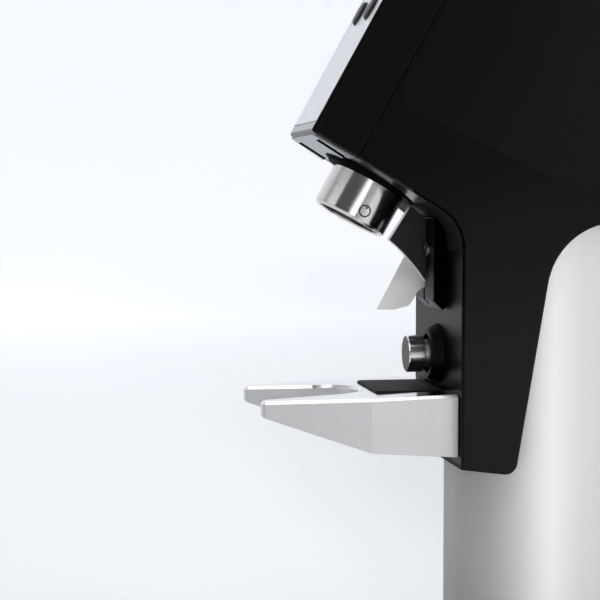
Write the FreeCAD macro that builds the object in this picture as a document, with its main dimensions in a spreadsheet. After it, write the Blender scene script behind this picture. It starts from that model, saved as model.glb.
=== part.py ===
import FreeCAD, Part
import math
import os
import re
import Sketcher
from FreeCAD import Placement, Rotation, Vector

# Burr coffee grinder, millimetres, +Z up, front towards -Y, X across.
# Origin: middle of the footprint on the surface it stands on.
# The head leans back: its burr axis is tilted from the vertical, so the turned
# pieces are drawn about their own axis and placed with TILT.

doc = FreeCAD.newDocument("burr_grinder")
sheet = doc.addObject("Spreadsheet::Sheet", "dims")

DIMS = [
    # tilted burr axis
    ("axis_y", -35.3, "burr axis, point at the flange"), ("axis_z", 239.6, "burr axis, point at the flange"),
    ("tilt", 29.0, "lean of the burr axis"),
    # upper body
    ("body_hw", 43.0, "half width of the neck"), ("wall", 3.0, "housing wall"),
    ("bow_r", 243.9, "bow of the head's sides"), ("bow_y", 45.0, "where the bow ends"),
    ("head_front", -36.2, "fascia plane"), ("seam", -14.7, "front cover seam"), ("seam_gap", 0.2, "half of the seam's gap"),
    ("head_low_y", -65.5, "front lower edge"), ("head_low_z", 259.65, "front lower edge"),
    ("under_z", 221.85, "underside line at the neck"), ("neck_y", -5.0, "neck front"), ("neck_low", 120.5, "neck lower end"),
    ("neck_back", 18.0, "neck back at its lower end"), ("rear_low", 222.0, "underside behind the neck"),
    ("lean_y", 35.6, "neck back at the top"), ("rear_y", 95.0, "rear wall"), ("top_z", 345.0, "top of the deck"),
    ("top_front", -18.3, "deck's front edge"), ("deck_thk", 3.0, "top deck"), ("neck_fillet", 18.5, "underside to neck"),
    ("back_fillet", 30.0, "neck back to underside"), ("low_round", 5.0, "neck's lower rear corner"), ("rear_round", 9.0, "rear lower corner"),
    ("edge_round", 1.2, "edges of the upper body"), ("front_round", 1.3, "front lower edge"), ("neck_drop", 3.0, "fall of the neck's lower end"),
    ("frame_thk", 2.5, "fascia frame"), ("panel_thk", 1.3, "fascia panel"), ("under_thk", 2.2, "underside plate"), ("lip_drop", 1.0, "underside plate below the cheeks"),
    ("neck_panel_thk", 1.2, "neck panel"), ("side_panel_thk", 1.4, "side panels"),
    # base and column
    ("base_hw", 70.0, "half width of the base"), ("base_hd", 105.0, "half depth of the base"), ("base_low", 5.0, "base skirt"),
    ("base_top", 29.0, "base deck"), ("base_corner", 24.0, "base corners"), ("foot_r", 10.0, "rubber feet"), ("foot_x", 52.0, "feet"), ("foot_y", 86.0, "feet"),
    ("col_hw", 37.0, "column half width"), ("col_front", 0.7, "column front"), ("col_back", 79.0, "column back"),
    ("col_corner", 30.0, "column corners"), ("col_thk", 2.0, "column wall"), ("col_top", 226.0, "column top"),
    ("tray_hw", 48.0, "tray half width"), ("tray_front", -95.5, "tray"), ("tray_back", -19.5, "tray"), ("tray_low", 16.6, "tray"), ("tray_top", 29.2, "tray rim"),
    # outlet and burrs, along the tilted axis
    ("ring_r", 16.5, "adjust ring"), ("ring_low", -19.0, "adjust ring"), ("ring_bore", 14.2, "adjust ring outlet"), ("ring_neck_r", 15.3, "adjust ring neck"),
    ("flange_r", 21.4, "ring flange"), ("flange_low", -0.4, "ring flange"), ("flange_top", 2.0, "ring flange"),
    ("sleeve_r", 13.95, "burr carrier sleeve"), ("sleeve_bore", 12.2, "outlet passage"),
    ("burr_r", 18.0, "ring burr"), ("seat_r", 20.0, "bearing seat"), ("race_r", 26.0, "bearing outside"), ("case_r", 29.0, "burr housing"),
    ("gear_m", 1.0, "gear module"), ("gear_z", 48, "burr gear teeth"), ("idler_z", 24, "idler teeth"), ("pinion_z", 17, "pinion teeth"),
    ("idler_y", 36.0, "idler axis"), ("motor_y", 56.5, "motor axis"), ("motor_r", 20.0, "motor"), ("motor_low", 54.3, "motor"), ("motor_top", 114.0, "motor"),
    # button, chute and fork
    ("button_z", 165.0, "button axis"), ("button_r", 8.05, "button head"), ("stem_r", 6.0, "button stem"), ("collar_r", 11.0, "collar front"), ("collar_low", -10.0, "collar front"), ("collar_base_r", 13.1, "collar at the wall"),
    ("fork_hw", 38.5, "fork half width"), ("fork_tip", -86.0, "fork tip"), ("fork_crease", -41.8, "fork crease"), ("fork_gap", 17.5, "half of the fork's gap"), ("fork_gap_y", -57.0, "gap's round end"),
    ("holder_hw", 16.5, "chute holder"), ("fin_thk", 5.0, "chute holder's fin"), ("chute_thk", 1.5, "chute"),
    # hopper
    ("hop_y", 23.0, "hopper axis"), ("spigot_r", 27.2, "hopper spigot"), ("spigot_bore", 24.7, "hopper spigot"), ("bowl_r", 57.4, "hopper bowl"), ("bowl_top", 440.0, "hopper rim"),
    ("gate_hw", 27.0, "gate"), ("gate_thk", 2.2, "gate"),
]
for row, (alias, number, note) in enumerate(DIMS, 1):
    sheet.set("A%d" % row, note)
    sheet.set("B%d" % row, repr(number))
    sheet.setAlias("B%d" % row, alias)
doc.recompute()
D = {alias: float(sheet.get(alias)) for alias, number, note in DIMS}

TERM = re.compile(r"([+-]?)(?:(\d+\.?\d*)|([a-z_][a-z_0-9]*))(?:([*/])(\d+\.?\d*))?")


def val(spec):
    """Number of a size: a plain number, or a sum of cells such as 'neck_y-3'."""
    if not isinstance(spec, str):
        return float(spec)
    total = 0.0
    for sign, number, alias, op, factor in TERM.findall(spec.replace(" ", "")):
        term = float(number) if number else D[alias]
        if op == "*":
            term *= float(factor)
        if op == "/":
            term /= float(factor)
        total += -term if sign == "-" else term
    return total


def expr(spec):
    return re.sub(r"[a-z_][a-z_0-9]*", lambda m: "dims." + m.group(0), spec)


def bind(obj, prop, spec):
    if isinstance(spec, str):
        obj.setExpression(prop, expr(spec))
    else:
        setattr(obj, prop, spec)


def at(x=0.0, y=0.0, z=0.0, rot=None):
    return Placement(Vector(x, y, z), rot or Rotation())


TILT = at(0, D["axis_y"], D["axis_z"], Rotation(Vector(1, 0, 0), -D["tilt"]))
TO_Y = Rotation(Vector(1, 0, 0), -90)      # a piece drawn along Z lies along +Y
count = [0]


def uid(name):
    count[0] += 1
    return "%s_%d" % (name, count[0])


def body(label, place=None):
    b = doc.addObject("PartDesign::Body", label)
    b.Label = label
    if place is not None:
        b.Placement = place
    return b


def plane(b, role):
    return [f for f in b.Origin.OriginFeatures if f.Role == role][0]


def sketch(b, role, loops, off=0.0, rot=None):
    """Sketch on one of the body's own planes. A loop is ('circle', x, y, r) or a list of
    points; a third value in a point is the middle of the arc that leaves it."""
    s = b.newObject("Sketcher::SketchObject", uid("sketch"))
    s.AttachmentSupport = [(plane(b, role), "")]
    s.MapMode = "FlatFace"
    if off or rot:
        s.AttachmentOffset = Placement(Vector(0, 0, val(off)), rot or Rotation())
        if isinstance(off, str):
            s.setExpression("AttachmentOffset.Base.z", expr(off))
    bound = []

    def pin(geo, pos, x, y):
        for kind, spec, axis in (("DistanceX", x, -2), ("DistanceY", y, -1)):
            if abs(val(spec)) < 1e-9:
                s.addConstraint(Sketcher.Constraint("PointOnObject", geo, pos, axis))
            else:
                i = s.addConstraint(Sketcher.Constraint(kind, -1, 1, geo, pos, val(spec)))
                if isinstance(spec, str):
                    bound.append((i, spec))

    for loop in loops:
        if loop[0] == "circle":
            _, x, y, r = loop
            g = s.addGeometry(Part.Circle(Vector(val(x), val(y), 0), Vector(0, 0, 1), val(r)))
            pin(g, 3, x, y)
            i = s.addConstraint(Sketcher.Constraint("Radius", g, val(r)))
            if isinstance(r, str):
                bound.append((i, r))
            continue
        n = len(loop)
        geos = []
        for k in range(n):
            p, nxt = loop[k], loop[(k + 1) % n]
            a = Vector(val(p[0]), val(p[1]), 0)
            c = Vector(val(nxt[0]), val(nxt[1]), 0)
            if len(p) > 2:
                geos.append((s.addGeometry(Part.Arc(a, Vector(val(p[2][0]), val(p[2][1]), 0), c)), a, c, True))
            else:
                geos.append((s.addGeometry(Part.LineSegment(a, c)), a, c, False))

        def end(k, point):
            g = geos[k][0]
            d1 = (s.getPoint(g, 1) - point).Length
            return 1 if d1 < (s.getPoint(g, 2) - point).Length else 2

        for k in range(n):
            g, a, c, arc = geos[k]
            nk = (k + 1) % n
            s.addConstraint(Sketcher.Constraint("Coincident", g, end(k, c), geos[nk][0], end(nk, c)))
            pin(g, end(k, a), loop[k][0], loop[k][1])
            if arc:
                centre = s.Geometry[g].Center
                if abs(c.x - a.x) > abs(c.y - a.y):
                    s.addConstraint(Sketcher.Constraint("DistanceY", -1, 1, g, 3, centre.y) if abs(centre.y) > 1e-9 else Sketcher.Constraint("PointOnObject", g, 3, -1))
                else:
                    s.addConstraint(Sketcher.Constraint("DistanceX", -1, 1, g, 3, centre.x) if abs(centre.x) > 1e-9 else Sketcher.Constraint("PointOnObject", g, 3, -2))
    for i, spec in bound:
        s.setExpression("Constraints[%d]" % i, expr(spec))
    return s


def rect(x0, y0, x1, y1):
    return [(x0, y0), (x1, y0), (x1, y1), (x0, y1)]


def rounded_rect(x0, y0, x1, y1, r):
    x0, y0, x1, y1, r = val(x0), val(y0), val(x1), val(y1), val(r)
    k = r * (1 - math.sqrt(0.5))
    return [(x0 + r, y0), (x1 - r, y0, (x1 - k, y0 + k)), (x1, y0 + r), (x1, y1 - r, (x1 - k, y1 - k)),
            (x1 - r, y1), (x0 + r, y1, (x0 + k, y1 - k)), (x0, y1 - r), (x0, y0 + r, (x0 + k, y0 + k))]


def pad(b, s, length, mid=False, rev=False):
    f = b.newObject("PartDesign::Pad", uid("pad"))
    f.Profile = s
    bind(f, "Length", length)
    f.Midplane = mid
    f.Reversed = rev
    doc.recompute()
    return f


def pocket(b, s, length, mid=False, rev=False):
    before = b.Shape.Volume
    f = b.newObject("PartDesign::Pocket", uid("pocket"))
    f.Profile = s
    bind(f, "Length", length)
    f.Midplane = mid
    f.Reversed = rev
    doc.recompute()
    if not b.Shape.Volume < before - 1e-6:
        raise RuntimeError("pocket in %s cuts nothing" % b.Label)
    return f


def turn(b, s, groove=False, axis="V_Axis", angle=360.0):
    f = b.newObject("PartDesign::Groove" if groove else "PartDesign::Revolution", uid("turn"))
    f.Profile = s
    f.ReferenceAxis = (s, [axis])
    f.Angle = angle
    doc.recompute()
    return f


def dress(b, kind, size, test):
    """Fillet or chamfer on the edges of the body's tip that pass the test."""
    base = b.Tip
    names = ["Edge%d" % i for i, e in enumerate(base.Shape.Edges, 1) if test(e)]
    if not names:
        raise RuntimeError("no edge to dress in %s" % b.Label)
    f = b.newObject("PartDesign::" + kind, uid(kind.lower()))
    f.Base = (base, names)
    bind(f, "Radius" if kind == "Fillet" else "Size", size)
    doc.recompute()
    if "Invalid" in f.State or f.Shape.isNull() or not f.Shape.isValid():
        raise RuntimeError("%s fails in %s" % (kind, b.Label))
    return f


def upright(role, x, y, tol=0.02):
    """Edges square to a sketch plane, through one of its points."""
    pick = {"XY_Plane": (0, 1, 2), "YZ_Plane": (1, 2, 0), "XZ_Plane": (0, 2, 1)}[role]

    def test(e):
        c = e.CenterOfMass
        box = e.BoundBox
        size = (box.XLength, box.YLength, box.ZLength)
        return (abs(c[pick[0]] - x) < tol and abs(c[pick[1]] - y) < tol and size[pick[2]] > 0.3
                and size[pick[0]] < tol and size[pick[1]] < tol)
    return test


def prism(label, role, pts, length, rounds=None, mid=True, off=0.0, place=None, rev=False, holes=()):
    """Padded outline with some of its corners rounded: {corner: radius}."""
    b = body(label, place)
    pad(b, sketch(b, role, [pts] + list(holes), off), length, mid, rev)
    for k, r in (rounds or {}).items():
        dress(b, "Fillet", r, upright(role, val(pts[k][0]), val(pts[k][1])))
    return b


def turned(label, pts, place=None):
    """Piece turned about Z from an outline of (radius, height)."""
    b = body(label, place)
    turn(b, sketch(b, "XZ_Plane", [pts]))
    return b


def cyl(r, h, place, label=None):
    c = doc.addObject("Part::Cylinder", uid(label or "round"))
    bind(c, "Radius", r)
    bind(c, "Height", h)
    c.Placement = place
    return c


def box(lx, ly, lz, place, label=None):
    c = doc.addObject("Part::Box", uid(label or "block"))
    bind(c, "Length", lx)
    bind(c, "Width", ly)
    bind(c, "Height", lz)
    c.Placement = place
    return c


def span(x0, y0, z0, x1, y1, z1, base=None):
    """Block between two corners, in the world or in another frame."""
    p = at(val(x0), val(y0), val(z0))
    return box(val(x1) - val(x0), val(y1) - val(y0), val(z1) - val(z0), base.multiply(p) if base else p)


def fuse(label, parts):
    f = doc.addObject("Part::MultiFuse", uid(label))
    f.Label = label
    f.Shapes = parts
    return f


def common(label, a, b):
    f = doc.addObject("Part::Common", uid(label))
    f.Label = label
    f.Base, f.Tool = a, b
    return f


def cut(label, a, tools):
    tools = tools if isinstance(tools, list) else [tools]
    f = doc.addObject("Part::Cut", uid(label))
    f.Label = label
    f.Base = a
    f.Tool = tools[0] if len(tools) == 1 else fuse(label + "_tools", tools)
    return f


def solid(label, shape, place=None):
    f = doc.addObject("Part::Feature", uid(label))
    f.Label = label
    f.Shape = shape
    if place is not None:
        f.Placement = place
    return f


def offset(pts, d):
    """Outline moved inwards by d, corner by corner."""
    n = len(pts)
    p = [(val(a), val(b)) for a, b in pts]
    area = sum(p[i][0] * p[(i + 1) % n][1] - p[(i + 1) % n][0] * p[i][1] for i in range(n))
    sgn = 1.0 if area > 0 else -1.0
    out = []
    for i in range(n):
        (ax, ay), (bx, by), (cx, cy) = p[i - 1], p[i], p[(i + 1) % n]
        l1, l2 = math.hypot(bx - ax, by - ay), math.hypot(cx - bx, cy - by)
        n1 = (-(by - ay) / l1 * sgn, (bx - ax) / l1 * sgn)
        n2 = (-(cy - by) / l2 * sgn, (cx - bx) / l2 * sgn)
        k = d / (1 + n1[0] * n2[0] + n1[1] * n2[1])
        out.append((bx + (n1[0] + n2[0]) * k, by + (n1[1] + n2[1]) * k))
    return out


nodes = {}


def node(name, obj):
    obj.Label = name
    nodes[name] = obj
    return obj


# ---------------------------------------------------------------- upper body
PROFILE = [("head_low_y", "head_low_z"), ("neck_y", "under_z"), ("neck_y", "neck_low"), ("neck_back", "neck_low-neck_drop"),
           ("lean_y", "rear_low"), ("rear_y", "rear_low"), ("rear_y", "top_z"), ("top_front", "top_z")]


def side_prism(label, d, top=0.0):
    pts = offset(PROFILE, d) if d else PROFILE
    if top:
        k = (val(PROFILE[7][0]) - val(PROFILE[0][0])) / (val(PROFILE[7][1]) - val(PROFILE[0][1]))
        zt = D["top_z"] + top
        pts = pts[:6] + [(pts[6][0], zt), (pts[7][0] + k * (zt - pts[7][1]), zt)]
    rounds = {0: max(D["front_round"] - d, 0.3), 1: D["neck_fillet"] + d, 3: max(D["low_round"] - d, 0.8), 4: D["back_fillet"] + d, 5: D["rear_round"] - d}
    if not d:
        rounds = {0: "front_round", 1: "neck_fillet", 3: "low_round", 4: "back_fillet", 5: "rear_round"}
    return prism(label, "YZ_Plane", pts, 104.0, rounds)


def plan_prism(label, d):
    """The head's plan seen along the burr axis: sides that bow in towards the fascia."""
    cx = D["body_hw"] - D["bow_r"]
    r = D["bow_r"] - d

    def bow(y):
        return cx + math.sqrt(r * r - (D["bow_y"] - y) ** 2)
    y0, y1, y2 = D["head_front"], D["bow_y"], 150.0
    ym = (y0 + y1) / 2
    pts = [(-bow(y0), y0), (bow(y0), y0, (bow(ym), ym)), (bow(y1), y1), (bow(y1), y2), (-bow(y1), y2), (-bow(y1), y1, (-bow(ym), ym))]
    return prism(label, "XY_Plane", pts, 400.0, place=TILT)


side_0, plan_0 = side_prism("side_outer", 0.0), plan_prism("plan_outer", 0.0)
sharp = common("upper_sharp", side_0, plan_0)
doc.recompute()
outer = doc.addObject("Part::Fillet", "upper_round")
outer.Base = sharp


def rim_edge(e):
    """Long edges where the two sides meet the outline, ahead of the deck's top."""
    c = e.CenterOfMass
    return abs(c.x) > 20 and e.BoundBox.XLength < 12 and e.Length > 3 and c.z < D["top_z"] - 1


outer.Edges = [(i, D["edge_round"], D["edge_round"]) for i, e in enumerate(sharp.Shape.Edges, 1) if rim_edge(e)]
doc.recompute()
if outer.Shape.isNull() or not outer.Shape.isValid() or abs(outer.Shape.Volume / sharp.Shape.Volume - 1) > 0.02:
    raise RuntimeError("edge rounds fail")

inner = common("upper_inner", side_prism("side_inner", D["wall"], 23.0), plan_prism("plan_inner", D["wall"]))
far = 220.0
head_zone = span(-far, -far, -far, far, "seam-seam_gap", far, TILT)
neck_zone = span(-far, "seam+seam_gap", -far, far, far, far, TILT)
below_deck = span(-far, -far, -far, far, far, "top_z-deck_thk")
deck_zone = span(-far, -far, "top_z-deck_thk+0.1", far, far, 400)
flange_hole = cyl(22.0, 16, TILT.multiply(at(0, 0, -8)))
col_outline = [("-col_hw", "col_front"), ("col_hw", "col_front"), ("col_hw", "col_back"), ("-col_hw", "col_back")]
col_clear = [("-col_hw-0.6", "col_front-0.6"), ("col_hw+0.6", "col_front-0.6"), ("col_hw+0.6", "col_back+0.6"), ("-col_hw-0.6", "col_back+0.6")]
col_room = prism("column_room", "XY_Plane", col_clear, 130.0, {0: 30.6, 1: 30.6, 2: 30.6, 3: 30.6}, mid=False, off=100.0)

# neck panel: a thin front skin from the neck's lower end up into the head's underside
neck_skin = cut("neck_skin", outer, side_prism("side_neck", D["neck_panel_thk"]))
PANEL_TOP_Y = -18.4
neck_zone_a = span(-41.2, PANEL_TOP_Y, 122.4, 41.2, -2.5, 236)
neck_zone_b = span(-41.4, PANEL_TOP_Y - 0.25, 122.2, 41.4, -2.5, 236)
neck_low_cut = span(-60, -3.4, 100, 60, 60, 236)
button_hole = cyl(9.15, 40, at(0, -20, D["button_z"], TO_Y))
screw_x, screw_z = 13.0, 138.0
fork_holes = [cyl(2.6, 30, at(s * screw_x, -24, screw_z, TO_Y)) for s in (-1, 1)]
chute_holes = [cyl(2.1, 12, at(s * 8.0, -9, 210.5, TO_Y)) for s in (-1, 1)]
node("neck_panel", cut("neck_panel", common("neck_strip", neck_skin, neck_zone_a), [neck_low_cut, flange_hole, button_hole] + fork_holes + chute_holes))
neck_pocket = cut("neck_pocket", common("neck_strip_b", neck_skin, neck_zone_b), neck_low_cut)

# side panels: one thin skin let into each side above the crease
side_skin = cut("side_skin", outer, plan_prism("plan_side", D["side_panel_thk"]))


def tilt_yz(y, z):
    p = TILT.multVec(Vector(0, y, z))
    return (p.y, p.z)


def panel_outline(g):
    """Side panel outline: front edge along the seam, lower edge square to it, grown by g."""
    a = tilt_yz(-12.6 - g, 29.0 - g)
    b = tilt_yz(100.0, 36.0 - g)
    k = (86.0 + g - a[0]) / (b[0] - a[0])
    low = (86.0 + g, a[1] + (b[1] - a[1]) * k)
    t0, t1 = tilt_yz(-12.6 - g, 0), tilt_yz(-12.6 - g, 100)
    zt = 334.0 + g
    top = (t0[0] + (t1[0] - t0[0]) * (zt - t0[1]) / (t1[1] - t0[1]), zt)
    return [a, low, (86.0 + g, zt), top]


panel_a = prism("panel_zone_a", "YZ_Plane", panel_outline(0.0), 120.0, {0: 9.0, 1: 12.0, 2: 8.0, 3: 5.0})
panel_b = prism("panel_zone_b", "YZ_Plane", panel_outline(0.05), 120.0, {0: 9.05, 1: 12.05, 2: 8.05, 3: 5.05})
node("side_panels", common("side_panels", side_skin, panel_a))
panel_pocket = common("panel_pocket", side_skin, panel_b)

rear_hole = span(-28.4, 88, 239.6, 28.4, 100, 328.4)
rear_screw_at = [(sx * 30.9, sz) for sx in (-1, 1) for sz in (235.7, 332.3)]
rear_bosses = [cyl(3.3, 10.5, at(x, 82.5, z, TO_Y)) for x, z in rear_screw_at]
rear_rebate = span(-34, 93, 232, 34, 100, 336)
housing_0 = common("housing_zone", common("housing_low", outer, below_deck), neck_zone)
shell = cut("housing_shell", housing_0, [inner, col_room, flange_hole, neck_pocket, panel_pocket, rear_hole, rear_rebate, button_hole] + fork_holes + chute_holes)
node("main_housing", cut("main_housing", fuse("housing_bossed", [shell] + rear_bosses), [cyl(1.65, 20, at(x, 84, z, TO_Y)) for x, z in rear_screw_at]))

# fascia: silver frame that turns under the head, with a pale panel let into its face
face_zone = span(-far, -far, -far, far, "head_front+frame_thk", far, TILT)
under_zone = span(-far, "head_front+frame_thk-0.5", -60, far, "seam-seam_gap", 40, TILT)
under_skin = cut("under_skin", outer, side_prism("side_under", D["under_thk"]))
under_plate = common("under_plate", common("under_strip", under_skin, under_zone), plan_prism("plan_under", D["wall"] + 0.15))
lip_zone = span(-far, "head_front+1.4", -60, far, "seam-2.6", 40, TILT)
lip_skin = cut("lip_skin", side_prism("side_lip", -D["lip_drop"]), side_0)
under_lip = common("under_lip", common("lip_strip", lip_skin, lip_zone), plan_prism("plan_lip", 2.0))
# front cover: two cheeks and the wall behind the fascia
cover_zone = span(-far, "head_front+frame_thk", -far, far, "seam-seam_gap", far, TILT)
cover_hollow = common("cover_hollow", plan_prism("plan_cover", D["wall"]), span(-far, "head_front+frame_thk+2", -far, far, far, far, TILT))
BUTTON_Z, BUTTON_X = 62.0, 12.0
cap_holes = [cyl(7.7, 30, TILT.multiply(at(s * BUTTON_X, -45, BUTTON_Z, TO_Y))) for s in (-1, 1)]
display_room = span(-21, -45, 74, 21, -31, 96, TILT)
node("front_cover", cut("front_cover", common("cover_block", common("cover_low", outer, below_deck), cover_zone),
     [cover_hollow, flange_hole, display_room, under_plate] + cap_holes))

face = common("face_plate", common("face_low", outer, below_deck), face_zone)
panel_lo, panel_hi, panel_hw = 7.2, 93.0, 28.2
recess = span(-panel_hw, -40, panel_lo, panel_hw, "head_front+panel_thk", panel_hi, TILT)
cap_bores = [cyl(5.8, 30, TILT.multiply(at(s * BUTTON_X, -45, BUTTON_Z, TO_Y))) for s in (-1, 1)]
display_hole = span(-20, -45, 74.5, 20, -31, 95.5, TILT)
slots = [span(s * 22.6 - 4.4, -31.2, -8, s * 22.6 + 4.4, -16.2, 8, TILT) for s in (-1, 1)]
frame_0 = fuse("frame_blank", [face, under_plate, under_lip])
node("fascia_frame", cut("fascia_frame", frame_0, [recess, flange_hole] + cap_bores + slots + [span(-18, -45, 76.5, 18, -31, 93.5 - 0.6, TILT)]))
panel_block = prism("panel_block", "XZ_Plane", rect(-panel_hw + 0.25, panel_lo + 0.5, panel_hw - 0.25, panel_hi - 0.15), 1.25,
                    {0: 1.0, 1: 1.0, 2: 1.0, 3: 1.0}, mid=False, off="-head_front-1.3", place=TILT)
node("fascia_panel", cut("fascia_panel", panel_block, cap_bores + [span(-19, -45, 76, 19, -31, 92.2, TILT)]))
display = prism("display_window", "XZ_Plane", rect(-18.8, 76.2, 18.8, 92.0), 1.15, {0: 1.5, 1: 1.5, 2: 1.5, 3: 1.5}, mid=False, off="-head_front-1.3", place=TILT)
node("display_window", display)

# top deck with the hopper's collar
deck_plate = common("deck_plate", outer, deck_zone)
collar = cyl(33.0, 8.0, at(0, D["hop_y"], D["top_z"] - 2))
node("top_deck", cut("top_deck", fuse("deck_blank", [deck_plate, collar]), cyl("spigot_r+0.4", 30, at(0, D["hop_y"], 335))))

# rear cover with vents, socket and switch openings
cover = prism("rear_plate", "XZ_Plane", rect(-33.7, 232.3, 33.7, 335.7), 1.8, {0: 2.0, 1: 2.0, 2: 2.0, 3: 2.0}, mid=False, off=-95.0)
vents = [span(-22, 90, 274 + 6.0 * i, 22, 100, 277 + 6.0 * i) for i in range(9)]
INLET_X, SWITCH_X, POWER_Z = -14.0, 17.0, 252.0
inlet_cut = span(INLET_X - 13.7, 90, POWER_Z - 10.2, INLET_X + 13.7, 100, POWER_Z + 10.2)
switch_cut = span(SWITCH_X - 10.2, 90, POWER_Z - 7.2, SWITCH_X + 10.2, 100, POWER_Z + 7.2)
node("rear_cover", cut("rear_cover", cover, vents + [inlet_cut, switch_cut] + [cyl(1.7, 10, at(x, 90, z, TO_Y)) for x, z in rear_screw_at]))


def screw(label, r, length, head_r, head_h, spots, rot, frame=None, recess_r=None):
    """Group of like screws: head above its seat, a socket in the head, shank below."""
    one = Part.makeCylinder(head_r, head_h).fuse(Part.makeCylinder(r, length, Vector(0, 0, -length)))
    s = recess_r or head_r * 0.5
    hexagon = [Vector(s * math.cos(a * math.pi / 3), s * math.sin(a * math.pi / 3), head_h * 0.4) for a in range(7)]
    one = one.cut(Part.Face(Part.makePolygon(hexagon)).extrude(Vector(0, 0, head_h)))
    shapes = []
    for x, y, z in spots:
        c = one.copy()
        p = at(x, y, z, rot)
        c.Placement = frame.multiply(p) if frame else p
        shapes.append(c)
    return node(label, solid(label, Part.makeCompound(shapes)))


TO_BACK = Rotation(Vector(1, 0, 0), -90)    # head towards +Y
TO_FRONT = Rotation(Vector(1, 0, 0), 90)    # head towards -Y
TO_FLOOR = Rotation(Vector(1, 0, 0), 180)   # head towards -Z
screw("rear_screws", 1.65, 8.0, 2.6, 1.6, [(x, 95.0, z) for x, z in rear_screw_at], TO_BACK)

# ---------------------------------------------------------------- base and column
b = prism("base_plate", "XY_Plane", rect("-base_hw", "-base_hd", "base_hw", "base_hd"), "base_top-base_low",
          {0: "base_corner", 1: "base_corner", 2: "base_corner", 3: "base_corner"}, mid=False, off="base_low")
dress(b, "Fillet", 3.0, lambda e: e.BoundBox.ZLength < 0.01 and abs(e.CenterOfMass.z - D["base_top"]) < 0.01)
inside = sketch(b, "XY_Plane", [rounded_rect("-base_hw+3.5", "-base_hd+3.5", "base_hw-3.5", "base_hd-3.5", "base_corner-3.5")], "base_low")
pocket(b, inside, 20.5, rev=True)
tub = sketch(b, "XY_Plane", [rect("-tray_hw-3.5", "tray_front-3.5", "tray_hw+3.5", "tray_back+3.5")], 13.5)
pad(b, tub, 13.0)
well = sketch(b, "XY_Plane", [rect("-tray_hw-0.5", "tray_front-0.5", "tray_hw+0.5", "tray_back+0.5")], "base_top")
pocket(b, well, 12.5)
col_screw_at = [(sx * 24.0, y) for sx in (-1, 1) for y in (14.0, 64.0)]
holes = sketch(b, "XY_Plane", [("circle", x, y, 2.75) for x, y in col_screw_at] + [("circle", 0, 39, 9.0)], "base_top")
pocket(b, holes, 6.0)
node("base_plate", b)

b = prism("base_cover", "XY_Plane", rect("-base_hw+4", "-base_hd+4", "base_hw-4", "base_hd-4"), 1.5, {0: "base_corner-4", 1: "base_corner-4", 2: "base_corner-4", 3: "base_corner-4"}, mid=False, off="base_low+0.3")
node("base_cover", b)

feet = []
for sx in (-1, 1):
    for sy in (-1, 1):
        f = turned("foot", [(0, 1.2), (3.0, 1.2), (3.0, 0.0), ("foot_r-1.2", 0.0), ("foot_r", 1.4), ("foot_r", "base_low+0.3"), (0, "base_low+0.3")],
                   at(sx * D["foot_x"], sy * D["foot_y"], 0))
        feet.append(f)
cp = doc.addObject("Part::Compound", "rubber_feet")
cp.Links = feet
node("rubber_feet", cp)

b = body("column_tube")
s = sketch(b, "XY_Plane", [col_outline], "base_top")
pad(b, s, "col_top-base_top")
for x, y in ((-1, 0), (1, 0), (1, 1), (-1, 1)):
    dress(b, "Fillet", "col_corner", upright("XY_Plane", x * D["col_hw"], D["col_back"] if y else D["col_front"]))
bore = prism("column_bore", "XY_Plane", [("-col_hw+col_thk", "col_front+col_thk"), ("col_hw-col_thk", "col_front+col_thk"), ("col_hw-col_thk", "col_back-col_thk"), ("-col_hw+col_thk", "col_back-col_thk")],
             300.0, {0: 28.0, 1: 28.0, 2: 28.0, 3: 28.0}, mid=False)
node("column_tube", cut("column_tube", b, [bore, cyl(9.15, 12, at(0, -6, D["button_z"], TO_Y))] + [cyl(2.5, 30, at(sx * screw_x, -24, screw_z, TO_Y)) for sx in (-1, 1)]))

foot_blank = prism("column_foot", "XY_Plane", [("-col_hw+col_thk+0.1", "col_front+col_thk+0.1"), ("col_hw-col_thk-0.1", "col_front+col_thk+0.1"), ("col_hw-col_thk-0.1", "col_back-col_thk-0.1"), ("-col_hw+col_thk+0.1", "col_back-col_thk-0.1")],
                   12.0, {0: 27.9, 1: 27.9, 2: 27.9, 3: 27.9}, mid=False, off="base_top")
foot_holes = sketch(foot_blank, "XY_Plane", [("circle", x, y, 2.5) for x, y in col_screw_at] + [("circle", 0, 39, 16.0)], "base_top+12")
pocket(foot_blank, foot_holes, 14.0)
node("column_foot", foot_blank)
screw("column_screws", 2.5, 14.0, 4.5, 4.0, [(x, y, 25.5) for x, y in col_screw_at], TO_FLOOR)

# column head: plug in the tube, and a wedge that carries the gear case at the burr axis' lean
plug = prism("head_plug", "XY_Plane", [("-col_hw+col_thk+0.1", "col_front+col_thk+0.1"), ("col_hw-col_thk-0.1", "col_front+col_thk+0.1"), ("col_hw-col_thk-0.1", "col_back-col_thk-0.1"), ("-col_hw+col_thk+0.1", "col_back-col_thk-0.1")],
             20.0, {0: 27.9, 1: 27.9, 2: 27.9, 3: 27.9}, mid=False, off="col_top-18")
rim = prism("head_rim", "XY_Plane", col_outline, 3.0, {0: 30.0, 1: 30.0, 2: 30.0, 3: 30.0}, mid=False, off="col_top+0.1")
w0, w1 = tilt_yz(31.0, 38.1), tilt_yz(66.0, 38.1)
wedge = prism("head_wedge", "YZ_Plane", [(w0[0], 228.0), (w1[0], 228.0), w1, w0], 44.0)
node("column_head", cut("column_head", fuse("head_blank", [plug, rim, wedge]),
     [prism("head_hollow", "XY_Plane", rect(-24, 44, 24, 66), 60.0, {0: 6.0, 1: 6.0, 2: 6.0, 3: 6.0}, mid=False, off=200.0),
      span(-14, 10, 190, 14, 36, 234)] + [cyl(1.65, 14, TILT.multiply(at(sx * 13, y, 26))) for sx in (-1, 1) for y in (42.0, 60.0)]))

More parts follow.
